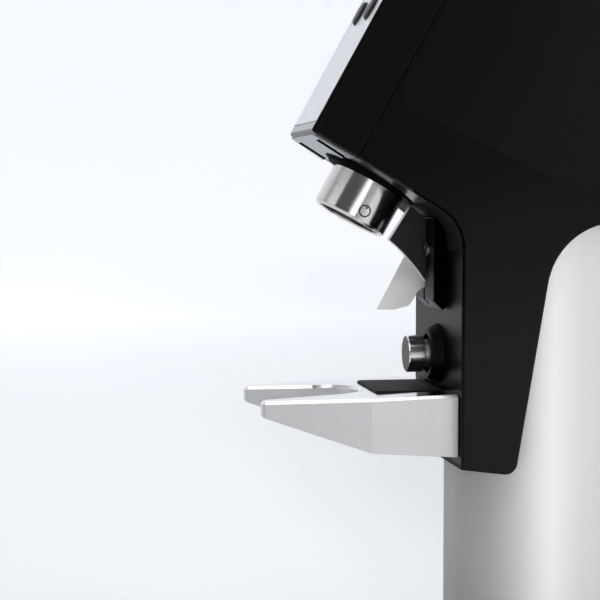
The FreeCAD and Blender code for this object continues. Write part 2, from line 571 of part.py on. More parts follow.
# lift-out tray: folded sheet with a rolled-out rim
b = prism("grounds_tray", "XY_Plane", rect("-tray_hw", "tray_front", "tray_hw", "tray_back"), "tray_top-tray_low+1", {0: 8.0, 1: 8.0, 2: 8.0, 3: 8.0}, mid=False, off="tray_low")
rim = sketch(b, "XY_Plane", [rect("-tray_hw-2.6", "tray_front-2.6", "tray_hw+2.6", "tray_back+2.6")], "tray_top")
pad(b, rim, 1.0)
for x, y in ((-1, -1), (1, -1), (1, 1), (-1, 1)):
    dress(b, "Fillet", 6.0, upright("XY_Plane", x * (D["tray_hw"] + 2.6), D["tray_front"] - 2.6 if y < 0 else D["tray_back"] + 2.6))
hollow = prism("tray_hollow", "XY_Plane", rect("-tray_hw+1", "tray_front+1", "tray_hw-1", "tray_back-1"), 30.0, {0: 7.0, 1: 7.0, 2: 7.0, 3: 7.0}, mid=False, off="tray_low+1")
node("grounds_tray", cut("grounds_tray", b, hollow))

# ---------------------------------------------------------------- outlet and burrs
node("adjust_ring", turned("adjust_ring", [
    ("ring_bore+0.6", "ring_low"), ("ring_r-1.0", "ring_low"), ("ring_r", "ring_low+1.0"), ("ring_r", "flange_low-0.6"), ("ring_r-0.6", "flange_low"),
    ("ring_neck_r", "flange_low"), ("ring_neck_r", 9.3), ("ring_neck_r-0.6", 9.3), ("ring_neck_r-0.6", 10.5), ("ring_neck_r", 10.5), ("ring_neck_r", 11.0),
    ("sleeve_r+0.05", 11.0), ("sleeve_r+0.05", -5.0), ("ring_bore", -5.6), ("ring_bore", "ring_low+0.6")], TILT))
node("ring_flange", turned("ring_flange", [
    ("ring_neck_r", "flange_low"), ("flange_r-1.7", "flange_low"), ("flange_r-1.2", "flange_low+0.5"), ("flange_r", "flange_top-0.5"), ("flange_r-0.5", "flange_top"), ("ring_neck_r", "flange_top")], TILT))
clip = turned("ring_clip_blank", [("ring_neck_r-0.6", 9.35), (18.0, 9.35), (18.0, 10.45), ("ring_neck_r-0.6", 10.45)], TILT)
node("ring_clip", cut("ring_clip", clip, span(-3, -25, 9, 3, 0, 11, TILT)))

carrier = turned("carrier_blank", [
    ("sleeve_bore", -4.5), ("sleeve_r", -4.5), ("sleeve_r", 12.0), (17.8, 14.8), (17.8, 16.2), (16.2, 16.2), (16.2, 15.2), ("sleeve_bore", 12.0)], TILT)
arms = [box(12.8, 3.0, 4.0, TILT.multiply(at(0, 0, 7.6, Rotation(Vector(0, 0, 1), 120 * i + 90))).multiply(at(0, -1.5, 0))) for i in range(3)]
hub = cyl(4.5, 11.2, TILT.multiply(at(0, 0, 6.0)))
lugs = span(-20.6, -3, 13.4, 20.6, 3, 16.2, TILT)
lug_core = cyl(17.0, 8, TILT.multiply(at(0, 0, 11)))
lug_pair = cut("lug_pair", lugs, lug_core)
node("burr_carrier", cut("burr_carrier", fuse("carrier_all", [carrier, hub, lug_pair] + arms), cyl(1.95, 20, TILT.multiply(at(0, 0, 4)))))


def burr_cuts(n, r, z0, z1, r0, r1, wide, lean):
    """Three-sided grooves down the face of a burr, one slanted blade each."""
    out = []
    for k in range(n):
        w = Part.Wire([Part.makeLine(Vector(r0, -wide, z0), Vector(r0, wide, z0)), Part.makeLine(Vector(r0, wide, z0), Vector(r0 + r, 0, z0)), Part.makeLine(Vector(r0 + r, 0, z0), Vector(r0, -wide, z0))])
        a = math.radians(lean)
        w2 = w.copy()
        w2.translate(Vector(r1 - r0, 0, z1 - z0))
        w2.rotate(Vector(0, 0, 0), Vector(0, 0, 1), lean)
        loft = Part.makeLoft([w, w2], True, True)
        loft.rotate(Vector(0, 0, 0), Vector(0, 0, 1), 360.0 * k / n)
        out.append(loft)
    return out


cone = turned("cone_blank", [(2.05, 17.3), (14.9, 17.3), (15.1, 18.0), (14.5, 22.0), (9.6, 30.0), (7.4, 35.5), (6.6, 36.2), (2.05, 36.2)])
doc.recompute()
cone_shape = cone.Shape.cut(burr_cuts(9, -2.6, 19.5, 38.0, 15.6, 8.4, 2.4, 24))
node("cone_burr", solid("cone_burr", cone_shape, TILT))
screw("burr_screw", 1.9, 28.0, 4.2, 3.2, [(0, 0, 36.3)], Rotation(), TILT)

ring_blank = turned("ring_blank", [(16.0, 17.2), ("burr_r", 17.2), ("burr_r", 35.0), (14.6, 35.0), (13.7, 29.0), (15.4, 22.0)])
doc.recompute()
ring_shape = ring_blank.Shape.cut(burr_cuts(12, 2.6, 21.0, 38.0, 14.0, 13.2, 1.6, -24))
node("ring_burr", solid("ring_burr", ring_shape, TILT))


def gear_face(z, m, first, bore):
    """Involute gear outline, 20 degree flanks, slightly thin teeth for backlash."""
    rp, rb = z * m / 2, z * m / 2 * math.cos(math.radians(20))
    ra, rr = rp + 0.94 * m, rp - 1.2 * m

    def inv(a):
        return math.tan(a) - a
    half = (math.pi * m / 2 - 0.14) / 2 / rp + inv(math.radians(20))
    flank = []
    start = max(rb, rr)
    for i in range(4):
        r = start + (ra - start) * i / 3.0
        flank.append((r, half - inv(math.acos(min(1.0, rb / r)))))
    if rr < rb:
        flank.insert(0, (rr, flank[0][1]))
    pts = []
    for k in range(z):
        c = math.radians(first) + 2 * math.pi * k / z
        for r, a in flank:
            pts.append(Vector(r * math.cos(c - a), r * math.sin(c - a), 0))
        for r, a in reversed(flank):
            pts.append(Vector(r * math.cos(c + a), r * math.sin(c + a), 0))
    pts.append(pts[0])
    return Part.Face(Part.makePolygon(pts)).cut(Part.Face(Part.Wire(Part.makeCircle(bore)))).Faces[0]


gear_blank = turned("gear_blank", [
    ("burr_r", 17.2), ("seat_r", 17.2), ("seat_r", 26.1), ("seat_r+1.3", 26.1), ("seat_r+1.3", 32.9), ("seat_r", 32.9), ("seat_r", 42.0), (22.0, 42.0), (22.0, 49.4), (14.6, 49.4), (14.6, 35.0), ("burr_r", 35.0)])
doc.recompute()
teeth = gear_face(int(D["gear_z"]), D["gear_m"], 90.0, 21.0).extrude(Vector(0, 0, 6.4))
teeth.translate(Vector(0, 0, 42.6))
node("burr_gear", solid("burr_gear", gear_blank.Shape.fuse(teeth).removeSplitter(), TILT))


def races(label, r0, r1, groove):
    parts = []
    for z in (19.0, 33.0):
        t = turned(label + "_race", [(r0, z), (r1, z), (r1, z + 7), (r0, z + 7)], TILT)
        parts.append(t)
    c = doc.addObject("Part::Compound", uid(label))
    c.Links = parts
    return node(label, c)


races("bearing_inner_races", "seat_r", 21.6, 1)
races("bearing_outer_races", 24.4, "race_r", -1)
balls = []
for z in (22.5, 36.5):
    for k in range(16):
        a = 2 * math.pi * (k + 0.5) / 16
        s = Part.makeSphere(1.35, Vector(23.0 * math.cos(a), 23.0 * math.sin(a), z))
        balls.append(s)
node("bearing_balls", solid("bearing_balls", Part.makeCompound(balls), TILT))

# burr housing: bearing bore, key slots for the carrier, gear tray behind
house = turned("house_blank", [
    ("ring_neck_r+0.05", 5.2), ("case_r", 5.2), ("case_r", 41.2), (26.4, 41.2), (26.4, 40.4), ("race_r", 40.4), ("race_r", 19.0), (23.2, 19.0), (23.2, 17.0), (19.0, 17.0), (19.0, 9.0), ("ring_neck_r+0.05", 9.0)], TILT)
tray = fuse("tray_blank", [cyl("case_r", 12.1, TILT.multiply(at(0, 0, 38.2))), cyl(16.5, 12.1, TILT.multiply(at(0, D["idler_y"], 38.2))),
                           cyl(13.0, 12.1, TILT.multiply(at(0, D["motor_y"], 38.2))), span(-16.5, 0, 38.2, 16.5, "idler_y", 50.3, TILT), span(-13, "idler_y", 38.2, 13, "motor_y", 50.3, TILT)])
tray_room = fuse("tray_room", [cyl(26.4, 20, TILT.multiply(at(0, 0, 41.2))), cyl(14.0, 20, TILT.multiply(at(0, D["idler_y"], 41.2))),
                               cyl(10.4, 20, TILT.multiply(at(0, D["motor_y"], 41.2))), span(-9, 0, 41.2, 9, "motor_y", 62, TILT)])
node("burr_housing", cut("burr_housing", fuse("house_all", [house, cut("tray_ring", tray, cyl("race_r", 30, TILT.multiply(at(0, 0, 30))))]),
     [tray_room, span(-21.2, -3.1, 12.6, 21.2, 3.1, 17.6, TILT), cyl(2.0, 30, TILT.multiply(at(0, D["idler_y"], 30)))]
     + [cyl(1.65, 14, TILT.multiply(at(sx * 13, y, 32))) for sx in (-1, 1) for y in (42.0, 60.0)]))

idler = solid("idler_gear", gear_face(int(D["idler_z"]), D["gear_m"], 97.5, 2.05).extrude(Vector(0, 0, 6.0)), TILT.multiply(at(0, D["idler_y"], 42.8)))
node("idler_gear", idler)
node("idler_axle", cyl(2.0, 15.9, TILT.multiply(at(0, D["idler_y"], 38.3)), "idler_axle"))
pinion_bore = 2.5
node("pinion", solid("pinion", gear_face(int(D["pinion_z"]), D["gear_m"], 270.0, pinion_bore).extrude(Vector(0, 0, 7.2)), TILT.multiply(at(0, D["motor_y"], 42.4))))

plate = fuse("plate_blank", [cyl("case_r", 4.0, TILT.multiply(at(0, 0, 50.3))), cyl(16.5, 4.0, TILT.multiply(at(0, D["idler_y"], 50.3))),
                             cyl("motor_r", 4.0, TILT.multiply(at(0, D["motor_y"], 50.3))), span(-16.5, 0, 50.3, 16.5, "idler_y", 54.3, TILT)])
plate_screws = [(sx * 20.5, -17.5) for sx in (-1, 1)] + [(sx * 20.5, 17.5) for sx in (-1, 1)]
node("motor_plate", cut("motor_plate", plate, [cyl(15.5, 10, TILT.multiply(at(0, 0, 48))), cyl(6.0, 10, TILT.multiply(at(0, D["motor_y"], 48))), cyl(2.0, 10, TILT.multiply(at(0, D["idler_y"], 48)))]
     + [cyl(1.65, 10, TILT.multiply(at(x, y, 48))) for x, y in plate_screws]))
screw("chassis_screws", 1.65, 3.9, 2.9, 2.2, [(x, y, 54.3) for x, y in plate_screws], Rotation(), TILT)

can = turned("can_blank", [(6.0, "motor_low"), ("motor_r", "motor_low"), ("motor_r", "motor_top-2"), ("motor_r-2", "motor_top"), (2.55, "motor_top"), (2.55, "motor_top-6"), (6.0, "motor_top-6"),
                           (6.0, "motor_top-3"), ("motor_r-1.6", "motor_top-3"), ("motor_r-1.6", "motor_low+2"), (8.0, "motor_low+2"), (8.0, "motor_low+7"), (2.55, "motor_low+7"), (2.55, "motor_low+0.4"), (6.0, "motor_low+0.4")],
             TILT.multiply(at(0, D["motor_y"], 0)))
node("motor_can", can)
node("motor_rotor", turned("motor_rotor", [(0, 41.8), ("2.5", 41.8), (2.5, 66.0), (15.5, 66.0), (15.5, 96.0), (9.0, 98.0), (9.0, 104.0), (2.5, 104.0), (2.5, "motor_top-0.4"), (0, "motor_top-0.4")],
                           TILT.multiply(at(0, D["motor_y"], 0))))

# feed throat: from the hopper's socket down to the burrs
b = body("feed_throat", TILT)
inv_rot = Rotation(Vector(1, 0, 0), D["tilt"])
mouth = TILT.inverse().multVec(Vector(0, D["hop_y"], 338.0))


def throat_loft(kind, r0, r1, extra):
    s0 = sketch(b, "XY_Plane", [("circle", 0, 0, r0)], 56.3 - extra)
    s1 = b.newObject("Sketcher::SketchObject", uid("sketch"))
    s1.AttachmentSupport = [(plane(b, "XY_Plane"), "")]
    s1.MapMode = "FlatFace"
    top = TILT.inverse().multVec(Vector(0, D["hop_y"], 338.0 + extra))
    s1.AttachmentOffset = Placement(top, inv_rot)
    g = s1.addGeometry(Part.Circle(Vector(0, 0, 0), Vector(0, 0, 1), val(r1)))
    s1.addConstraint(Sketcher.Constraint("Coincident", g, 3, -1, 1))
    s1.addConstraint(Sketcher.Constraint("Radius", g, val(r1)))
    f = b.newObject("PartDesign::" + kind, uid("loft"))
    f.Profile = s0
    f.Sections = [s1]
    doc.recompute()
    return f


throat_loft("AdditiveLoft", 17.0, 29.0, 0.0)
throat_outer = b
lip = cyl(32.0, 3.6, at(0, D["hop_y"], 338.0))
lip_bore = cyl("spigot_r+0.4", 8, at(0, D["hop_y"], 337.9))
foot_ring = cyl(19.0, 2.2, TILT.multiply(at(0, 0, 54.3)))
nose = cyl(15.45, 4.3, TILT.multiply(at(0, 0, 50.4)))
b = body("throat_bore", TILT)
throat_loft("AdditiveLoft", 14.3, 26.4, 0.2)
node("feed_throat", cut("feed_throat", fuse("throat_all", [throat_outer, lip, foot_ring, nose]), [b, lip_bore, cyl(13.2, 10, TILT.multiply(at(0, 0, 48)))]))

# ---------------------------------------------------------------- chute, button and fork
bar = prism("holder_bar", "YZ_Plane", [("neck_y", 186.2), (-6.8, 184.6), (-11.0, 188.5), (-11.0, 224.0), ("neck_y", 224.0)], "holder_hw*2")
dress(bar, "Fillet", 5.0, lambda e: abs(abs(e.CenterOfMass.x) - D["holder_hw"]) < 0.01 and abs(e.CenterOfMass.z - 224.0) < 0.01)
dress(bar, "Fillet", 2.5, lambda e: abs(abs(e.CenterOfMass.x) - D["holder_hw"]) < 0.01 and abs(e.CenterOfMass.z - 186.55) < 0.05)
dress(bar, "Chamfer", 1.2, lambda e: abs(abs(e.CenterOfMass.x) - D["holder_hw"]) < 0.01 and abs(e.CenterOfMass.y - D["neck_y"]) < 0.01 and e.BoundBox.ZLength > 20)
dress(bar, "Fillet", 0.9, lambda e: abs(e.BoundBox.YMin + 11.0) < 0.001 and abs(e.BoundBox.YMax + 11.0) < 0.001)
fin = prism("holder_fin", "YZ_Plane", [(-17.6, 228.65), (-26.97, 214.12, (-17.6, 205.1)), (-10.41, 195.32), (-10.41, 222.4)], "fin_thk")
blade_slot = prism("blade_slot", "YZ_Plane", [(-22.5, 203.0), (-17.2, 214.6), (-15.4, 214.6), (-9.6, 206.8), (-9.6, 193.0), (-14.0, 193.0)], "chute_thk+0.1")
bar_holes = [cyl(2.1, 12, at(s * 8.0, -14, 210.5, TO_Y)) for s in (-1, 1)]
node("chute_holder", cut("chute_holder", fuse("holder_all", [bar, fin]), bar_holes + [blade_slot, span(-1.5, -11.5, 180, 1.5, -8.5, 196), cyl(22.0, 5, TILT.multiply(at(0, 0, -0.9))), side_0]))
blade_pts = [(-32.25, 184.2), (-24.57, 184.1), (-17.96, 185.8), (-15.99, 188.6), (-14.02, 192.0), (-10.7, 193.9), (-10.0, 193.9), (-10.0, 205.5), (-15.6, 213.2), (-16.56, 213.2)]
node("chute", prism("chute", "YZ_Plane", blade_pts, "chute_thk", {1: 6.0, 2: 2.2, 4: 1.5}))
screw("chute_screws", 2.0, 8.0, 3.6, 1.5, [(s * 8.0, -11.0, 210.5) for s in (-1, 1)], TO_FRONT)

BUT = at(0, 0, D["button_z"], TO_Y)
node("button_collar", turned("button_collar", [
    (8.5, "collar_low"), ("collar_r-0.6", "collar_low"), ("collar_r", "collar_low+0.6"), ("collar_base_r", "neck_y"), (9.05, "neck_y"), (9.05, 11.0), (3.6, 11.0), (3.6, 9.0), (6.06, 9.0), (6.06, -6.0), (8.5, -6.0)], BUT))
node("push_button", turned("push_button", [
    (0, -19.2), ("button_r-0.5", -19.2), ("button_r", -18.7), ("button_r", -12.4), ("button_r-0.4", -12.0), ("stem_r", -12.0), ("stem_r", 2.0), (3.5, 2.0), (3.5, 11.3), (2.6, 11.3), (2.6, 12.3), (3.5, 12.3), (3.5, 16.0), (0, 16.0)], BUT))
clip = turned("clip_blank", [(2.6, 11.35), (5.6, 11.35), (5.6, 12.25), (2.6, 12.25)], BUT)
node("button_clip", cut("button_clip", clip, span(-2.4, 10, D["button_z"], 2.4, 14, D["button_z"] + 8)))
pitch, turns_n, wire_r, coil_r = 1.7, 3.6, 0.4, 4.75
helix = Part.makeHelix(pitch, pitch * turns_n, coil_r)
ring = Part.Wire(Part.makeCircle(wire_r, Vector(coil_r, 0, 0), Vector(0, 1, 0)))
spring = Part.Wire(helix.Edges).makePipeShell([ring], True, True)
node("button_spring", solid("button_spring", spring, at(0, 2.45, D["button_z"], TO_Y)))
board = prism("sensor_board", "XZ_Plane", rect(-13, "button_z-9", 13, "button_z+9"), 1.6, {0: 1.0, 1: 1.0, 2: 1.0, 3: 1.0}, mid=False, off=-26.6)
pads = [span(-1.6, 24.2, D["button_z"] - 1.5, 1.6, 25.1, D["button_z"] + 1.5), span(5, 26.5, D["button_z"] - 5, 9, 31, D["button_z"] + 5)]
posts = [span(s * 11.3 - 1.6, 3.6, D["button_z"] - 2, s * 11.3 + 1.6, 25.0, D["button_z"] + 2) for s in (-1, 1)]
node("sensor_board", fuse("sensor_board", [board] + pads))
node("sensor_bracket", cut("sensor_bracket", fuse("bracket_all", posts + [cyl(13.5, 2.6, at(0, 3.6, D["button_z"], TO_Y))]), [cyl(9.1, 8, at(0, 0, D["button_z"], TO_Y))]))

fork_side = prism("fork_side", "YZ_Plane", [(-5.4, 125.2), ("fork_crease", 127.7), ("fork_tip", 142.4), ("fork_tip", 149.0), (-5.4, 151.3)], 100.0, {2: 1.5})
b = body("fork_plan")
xe = math.sqrt(1.0)
pad(b, sketch(b, "XY_Plane", [[("-fork_hw", -5.4), ("-fork_hw", "fork_crease"), (-31.0, "fork_tip"), (-24.4, "fork_tip"), ("-fork_gap", "fork_gap_y", (0, D["fork_gap_y"] + D["fork_gap"])),
                               ("fork_gap", "fork_gap_y"), (24.4, "fork_tip"), (31.0, "fork_tip"), ("fork_hw", "fork_crease"), ("fork_hw", -5.4)]], 110.0), 60.0)
for x in (-31.0, -24.4, 24.4, 31.0):
    dress(b, "Fillet", 1.6, upright("XY_Plane", x, D["fork_tip"]))
fork_raw = common("fork_raw", fork_side, b)
doc.recompute()
fork_soft = doc.addObject("Part::Chamfer", "fork_soft")
fork_soft.Base = fork_raw


def top_edge(e):
    c = e.CenterOfMass
    n = e.Vertexes
    zs = [v.Point.z for v in n]
    return min(zs) > 148.5 and c.y < -6 and e.Length > 1.0 and not (c.y > -80 and e.BoundBox.YLength < 0.1)


fork_soft.Edges = [(i, 1.3, 1.3) for i, e in enumerate(fork_raw.Shape.Edges, 1) if top_edge(e)]
doc.recompute()
if fork_soft.Shape.isNull() or not fork_soft.Shape.isValid() or abs(fork_soft.Shape.Volume / fork_raw.Shape.Volume - 1) > 0.03:
    raise RuntimeError("fork chamfer fails")
pad_room = prism("pad_room", "XY_Plane", rect(-22.1, -36.7, 22.1, -4.0), 10.0, mid=False, off=148.6)
fork_root = span(-26, -6, 128, 26, "neck_y", 148)
head_rooms = [cyl(4.6, 40, at(s * screw_x, -51.0, screw_z, TO_Y)) for s in (-1, 1)]
node("fork", cut("fork", fuse("fork_all", [fork_soft, fork_root]), [pad_room] + head_rooms + [cyl(2.6, 30, at(s * screw_x, -24, screw_z, TO_Y)) for s in (-1, 1)]))
b = prism("fork_pad", "XY_Plane", rect(-21.9, -36.5, 21.9, -6.1), 2.8, {0: 2.0, 1: 2.0, 2: 2.0, 3: 2.0}, mid=False, off=148.6)
dress(b, "Fillet", 0.8, lambda e: e.BoundBox.ZLength < 0.01 and abs(e.CenterOfMass.z - 151.4) < 0.01)
pad_fall = prism("pad_fall", "YZ_Plane", [(-8.1, 151.4), (-4.0, 149.9), (-4.0, 153.0), (-8.1, 153.0)], 60.0)
node("fork_pad", cut("fork_pad", b, pad_fall))
screw("fork_screws", 2.5, 13.0, 4.3, 4.5, [(s * screw_x, -11.0, screw_z) for s in (-1, 1)], TO_FRONT)

# ---------------------------------------------------------------- hopper
HOP = at(0, D["hop_y"], 0)
bowl = turned("hopper_bowl", [
    ("spigot_bore", 339.4), ("spigot_r", 339.4), ("spigot_r", 351.3), (36.0, 351.3), (36.0, 364.5), (41.0, 368.0), ("bowl_r-2", 398.0), ("bowl_r", 404.0), ("bowl_r", "bowl_top"),
    ("bowl_r-2.4", "bowl_top"), ("bowl_r-2.4", 404.6), ("bowl_r-4.3", 399.6), (38.4, 370.0), ("spigot_bore", 365.0)], HOP)
gate_slot = prism("gate_slot", "XY_Plane", [("-gate_hw-0.4", -40), ("gate_hw+0.4", -40), ("gate_hw+0.4", 0, (0, D["gate_hw"] + 0.4)), ("-gate_hw-0.4", 0)], "gate_thk+0.8", mid=False, off=356.4, place=HOP)
node("hopper", cut("hopper", bowl, gate_slot))
gate_plate = prism("gate_plate", "XY_Plane", [("-gate_hw", -38), ("gate_hw", -38), ("gate_hw", 0, (0, D["gate_hw"])), ("-gate_hw", 0)], "gate_thk", mid=False, off=356.8, place=HOP)
tab = prism("gate_tab", "XY_Plane", rect(-16, -45, 16, -37.5), 10.0, {0: 3.0, 1: 3.0}, mid=False, off=353.0, place=HOP)
node("hopper_gate", fuse("hopper_gate", [gate_plate, tab]))
lid = turned("hopper_lid", [(0, 440.3), ("bowl_r-4.0", 440.3), ("bowl_r-4.0", 434.0), ("bowl_r-3.0", 434.0), ("bowl_r-3.0", 440.3), ("bowl_r", 440.3), ("bowl_r", 442.6), ("bowl_r-1.4", 444.0), (12.0, 445.6), (10.0, 447.5), (11.5, 454.0), (10.0, 456.0), (0, 456.0)], HOP)
node("hopper_lid", lid)

# ---------------------------------------------------------------- buttons, boards and mains pieces
for name, s in (("dose_button_single", -1), ("dose_button_double", 1)):
    spot = TILT.multiply(at(s * BUTTON_X, 0, BUTTON_Z, TO_Y))
    node(name, turned(name, [(0, -37.6), (4.6, -37.6), (5.5, -37.0), (5.5, -33.3), (7.2, -33.3), (7.2, -32.5), (2.0, -32.5), (2.0, -29.6), (0, -29.6)], spot))
board = prism("control_board", "XZ_Plane", rect(-24, 56.5, 24, 97.0), 1.6, {0: 1.5, 1: 1.5, 2: 1.5, 3: 1.5}, mid=False, off=25.0, place=TILT)
keys = [span(s * BUTTON_X - 3, -28.5, BUTTON_Z - 3, s * BUTTON_X + 3, -26.5, BUTTON_Z + 3, TILT) for s in (-1, 1)]
lcd = span(-18, -33.0, 76.6, 18, -26.5, 92.0, TILT)
chip = span(-8, -25.1, 60, 8, -23.5, 70, TILT)
node("control_board", fuse("control_board", [board] + keys + [lcd, chip]))
pcb = prism("power_pcb", "XZ_Plane", rect(-27, 50, 27, 115), 1.6, {0: 2.0, 1: 2.0, 2: 2.0, 3: 2.0}, mid=False, off=-60.0)
parts = [span(-20, 42, 58, -6, 58.5, 78), cyl(8, 22, at(10, 36.5, 72, TO_Y)), span(-18, 45, 88, 14, 58.5, 106), span(-27, 58.4, 44, 27, 60, 52), span(-20, 41.2, 40.5, 20, 60.0, 47)]
node("power_board", fuse("power_board", [pcb] + parts[:4]))
inlet_body = prism("inlet_body", "XZ_Plane", rect(INLET_X - 13.5, POWER_Z - 10, INLET_X + 13.5, POWER_Z + 10), 22.0, {2: 4.0, 3: 4.0}, mid=False, off=-95.5)
inlet_rim = prism("inlet_rim", "XZ_Plane", rect(INLET_X - 15.5, POWER_Z - 12, INLET_X + 15.5, POWER_Z + 12), 1.8, {0: 2.0, 1: 2.0, 2: 2.0, 3: 2.0}, mid=False, off=-96.8)
inlet_room = prism("inlet_room", "XZ_Plane", rect(INLET_X - 12.2, POWER_Z - 8.4, INLET_X + 12.2, POWER_Z + 8.4), 22.0, {2: 4.0, 3: 4.0}, mid=False, off=-100.0)
pins = [span(INLET_X + dx - 1.0, 76, POWER_Z + dz - 3.0, INLET_X + dx + 1.0, 91.5, POWER_Z + dz + 3.0) for dx, dz in ((-7, -1.6), (7, -1.6), (0, 2.4))]
node("power_inlet", fuse("power_inlet", [cut("inlet_shell", fuse("inlet_all", [inlet_body, inlet_rim]), inlet_room)] + pins))
frame_box = prism("switch_box", "XZ_Plane", rect(SWITCH_X - 10, POWER_Z - 7, SWITCH_X + 10, POWER_Z + 7), 17.0, mid=False, off=-95.5)
frame_rim = prism("switch_rim", "XZ_Plane", rect(SWITCH_X - 12, POWER_Z - 9, SWITCH_X + 12, POWER_Z + 9), 1.8, {0: 1.5, 1: 1.5, 2: 1.5, 3: 1.5}, mid=False, off=-96.8)
frame_room = span(SWITCH_X - 8.4, 84, POWER_Z - 5.6, SWITCH_X + 8.4, 98, POWER_Z + 5.6)
pivot = cyl(1.2, 15.0, at(SWITCH_X, 92.0, POWER_Z - 7.0))
node("switch_frame", fuse("switch_frame", [cut("switch_shell", fuse("switch_all", [frame_box, frame_rim]), frame_room), common("switch_pivot", pivot, frame_box)]))
rock = prism("rocker_blank", "XY_Plane", [(-7.0, 97.4), (-7.0, 93.6), (-4.0, 90.2), (4.0, 90.2), (7.0, 93.6), (7.0, 95.5), (0.0, 95.5)], 10.6, {0: 0.6, 5: 0.6}, place=at(SWITCH_X, 0, POWER_Z))
node("power_rocker", cut("power_rocker", rock, cyl(1.26, 20, at(SWITCH_X, 92.0, POWER_Z - 10))))

# ---------------------------------------------------------------- test and write
doc.recompute()
bad = [o.Label for o in doc.Objects if "Invalid" in o.State or "Error" in o.State]
if bad:
    raise RuntimeError("failed objects: %s" % bad)
for name, obj in nodes.items():
    sh = obj.Shape
    if sh.isNull() or not sh.isValid() or not sh.Solids:
        raise RuntimeError("bad shape: %s" % name)
    print("%-22s solids %3d  volume %10.1f  faces %4d" % (name, len(sh.Solids), sh.Volume, len(sh.Faces)))
if len(nodes) > 60:
    raise RuntimeError("too many nodes: %d" % len(nodes))
os.makedirs("parts", exist_ok=True)
for name, obj in nodes.items():
    obj.Shape.exportStep("parts/%s.step" % name)
print("nodes", len(nodes))
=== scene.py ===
import math

import bmesh
import bpy
from mathutils import Matrix, Vector


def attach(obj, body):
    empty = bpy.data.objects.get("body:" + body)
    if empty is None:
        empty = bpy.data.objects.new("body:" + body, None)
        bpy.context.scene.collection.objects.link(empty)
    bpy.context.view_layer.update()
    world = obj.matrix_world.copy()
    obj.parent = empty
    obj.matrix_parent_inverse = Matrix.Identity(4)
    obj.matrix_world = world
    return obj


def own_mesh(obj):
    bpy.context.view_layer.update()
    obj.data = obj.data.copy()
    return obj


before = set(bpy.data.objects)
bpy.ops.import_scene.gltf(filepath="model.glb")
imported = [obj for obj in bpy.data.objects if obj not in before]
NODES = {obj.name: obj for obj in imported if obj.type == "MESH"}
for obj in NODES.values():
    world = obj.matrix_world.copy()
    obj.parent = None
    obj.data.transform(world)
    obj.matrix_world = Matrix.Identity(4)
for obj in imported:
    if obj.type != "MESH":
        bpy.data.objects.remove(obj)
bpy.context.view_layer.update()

TILT = math.radians(29.0)                      # lean of the outlet and of the head's front
TILT_AT = Vector((0.0, -0.0353, 0.2396))       # where the outlet's axis meets its flange


def tilted(x, y, z):
    """A point given in millimetres on the leaning axes, in the row frame."""
    c, s = math.cos(TILT), math.sin(TILT)
    return TILT_AT + Vector((x, y * c + z * s, -y * s + z * c)) / 1000


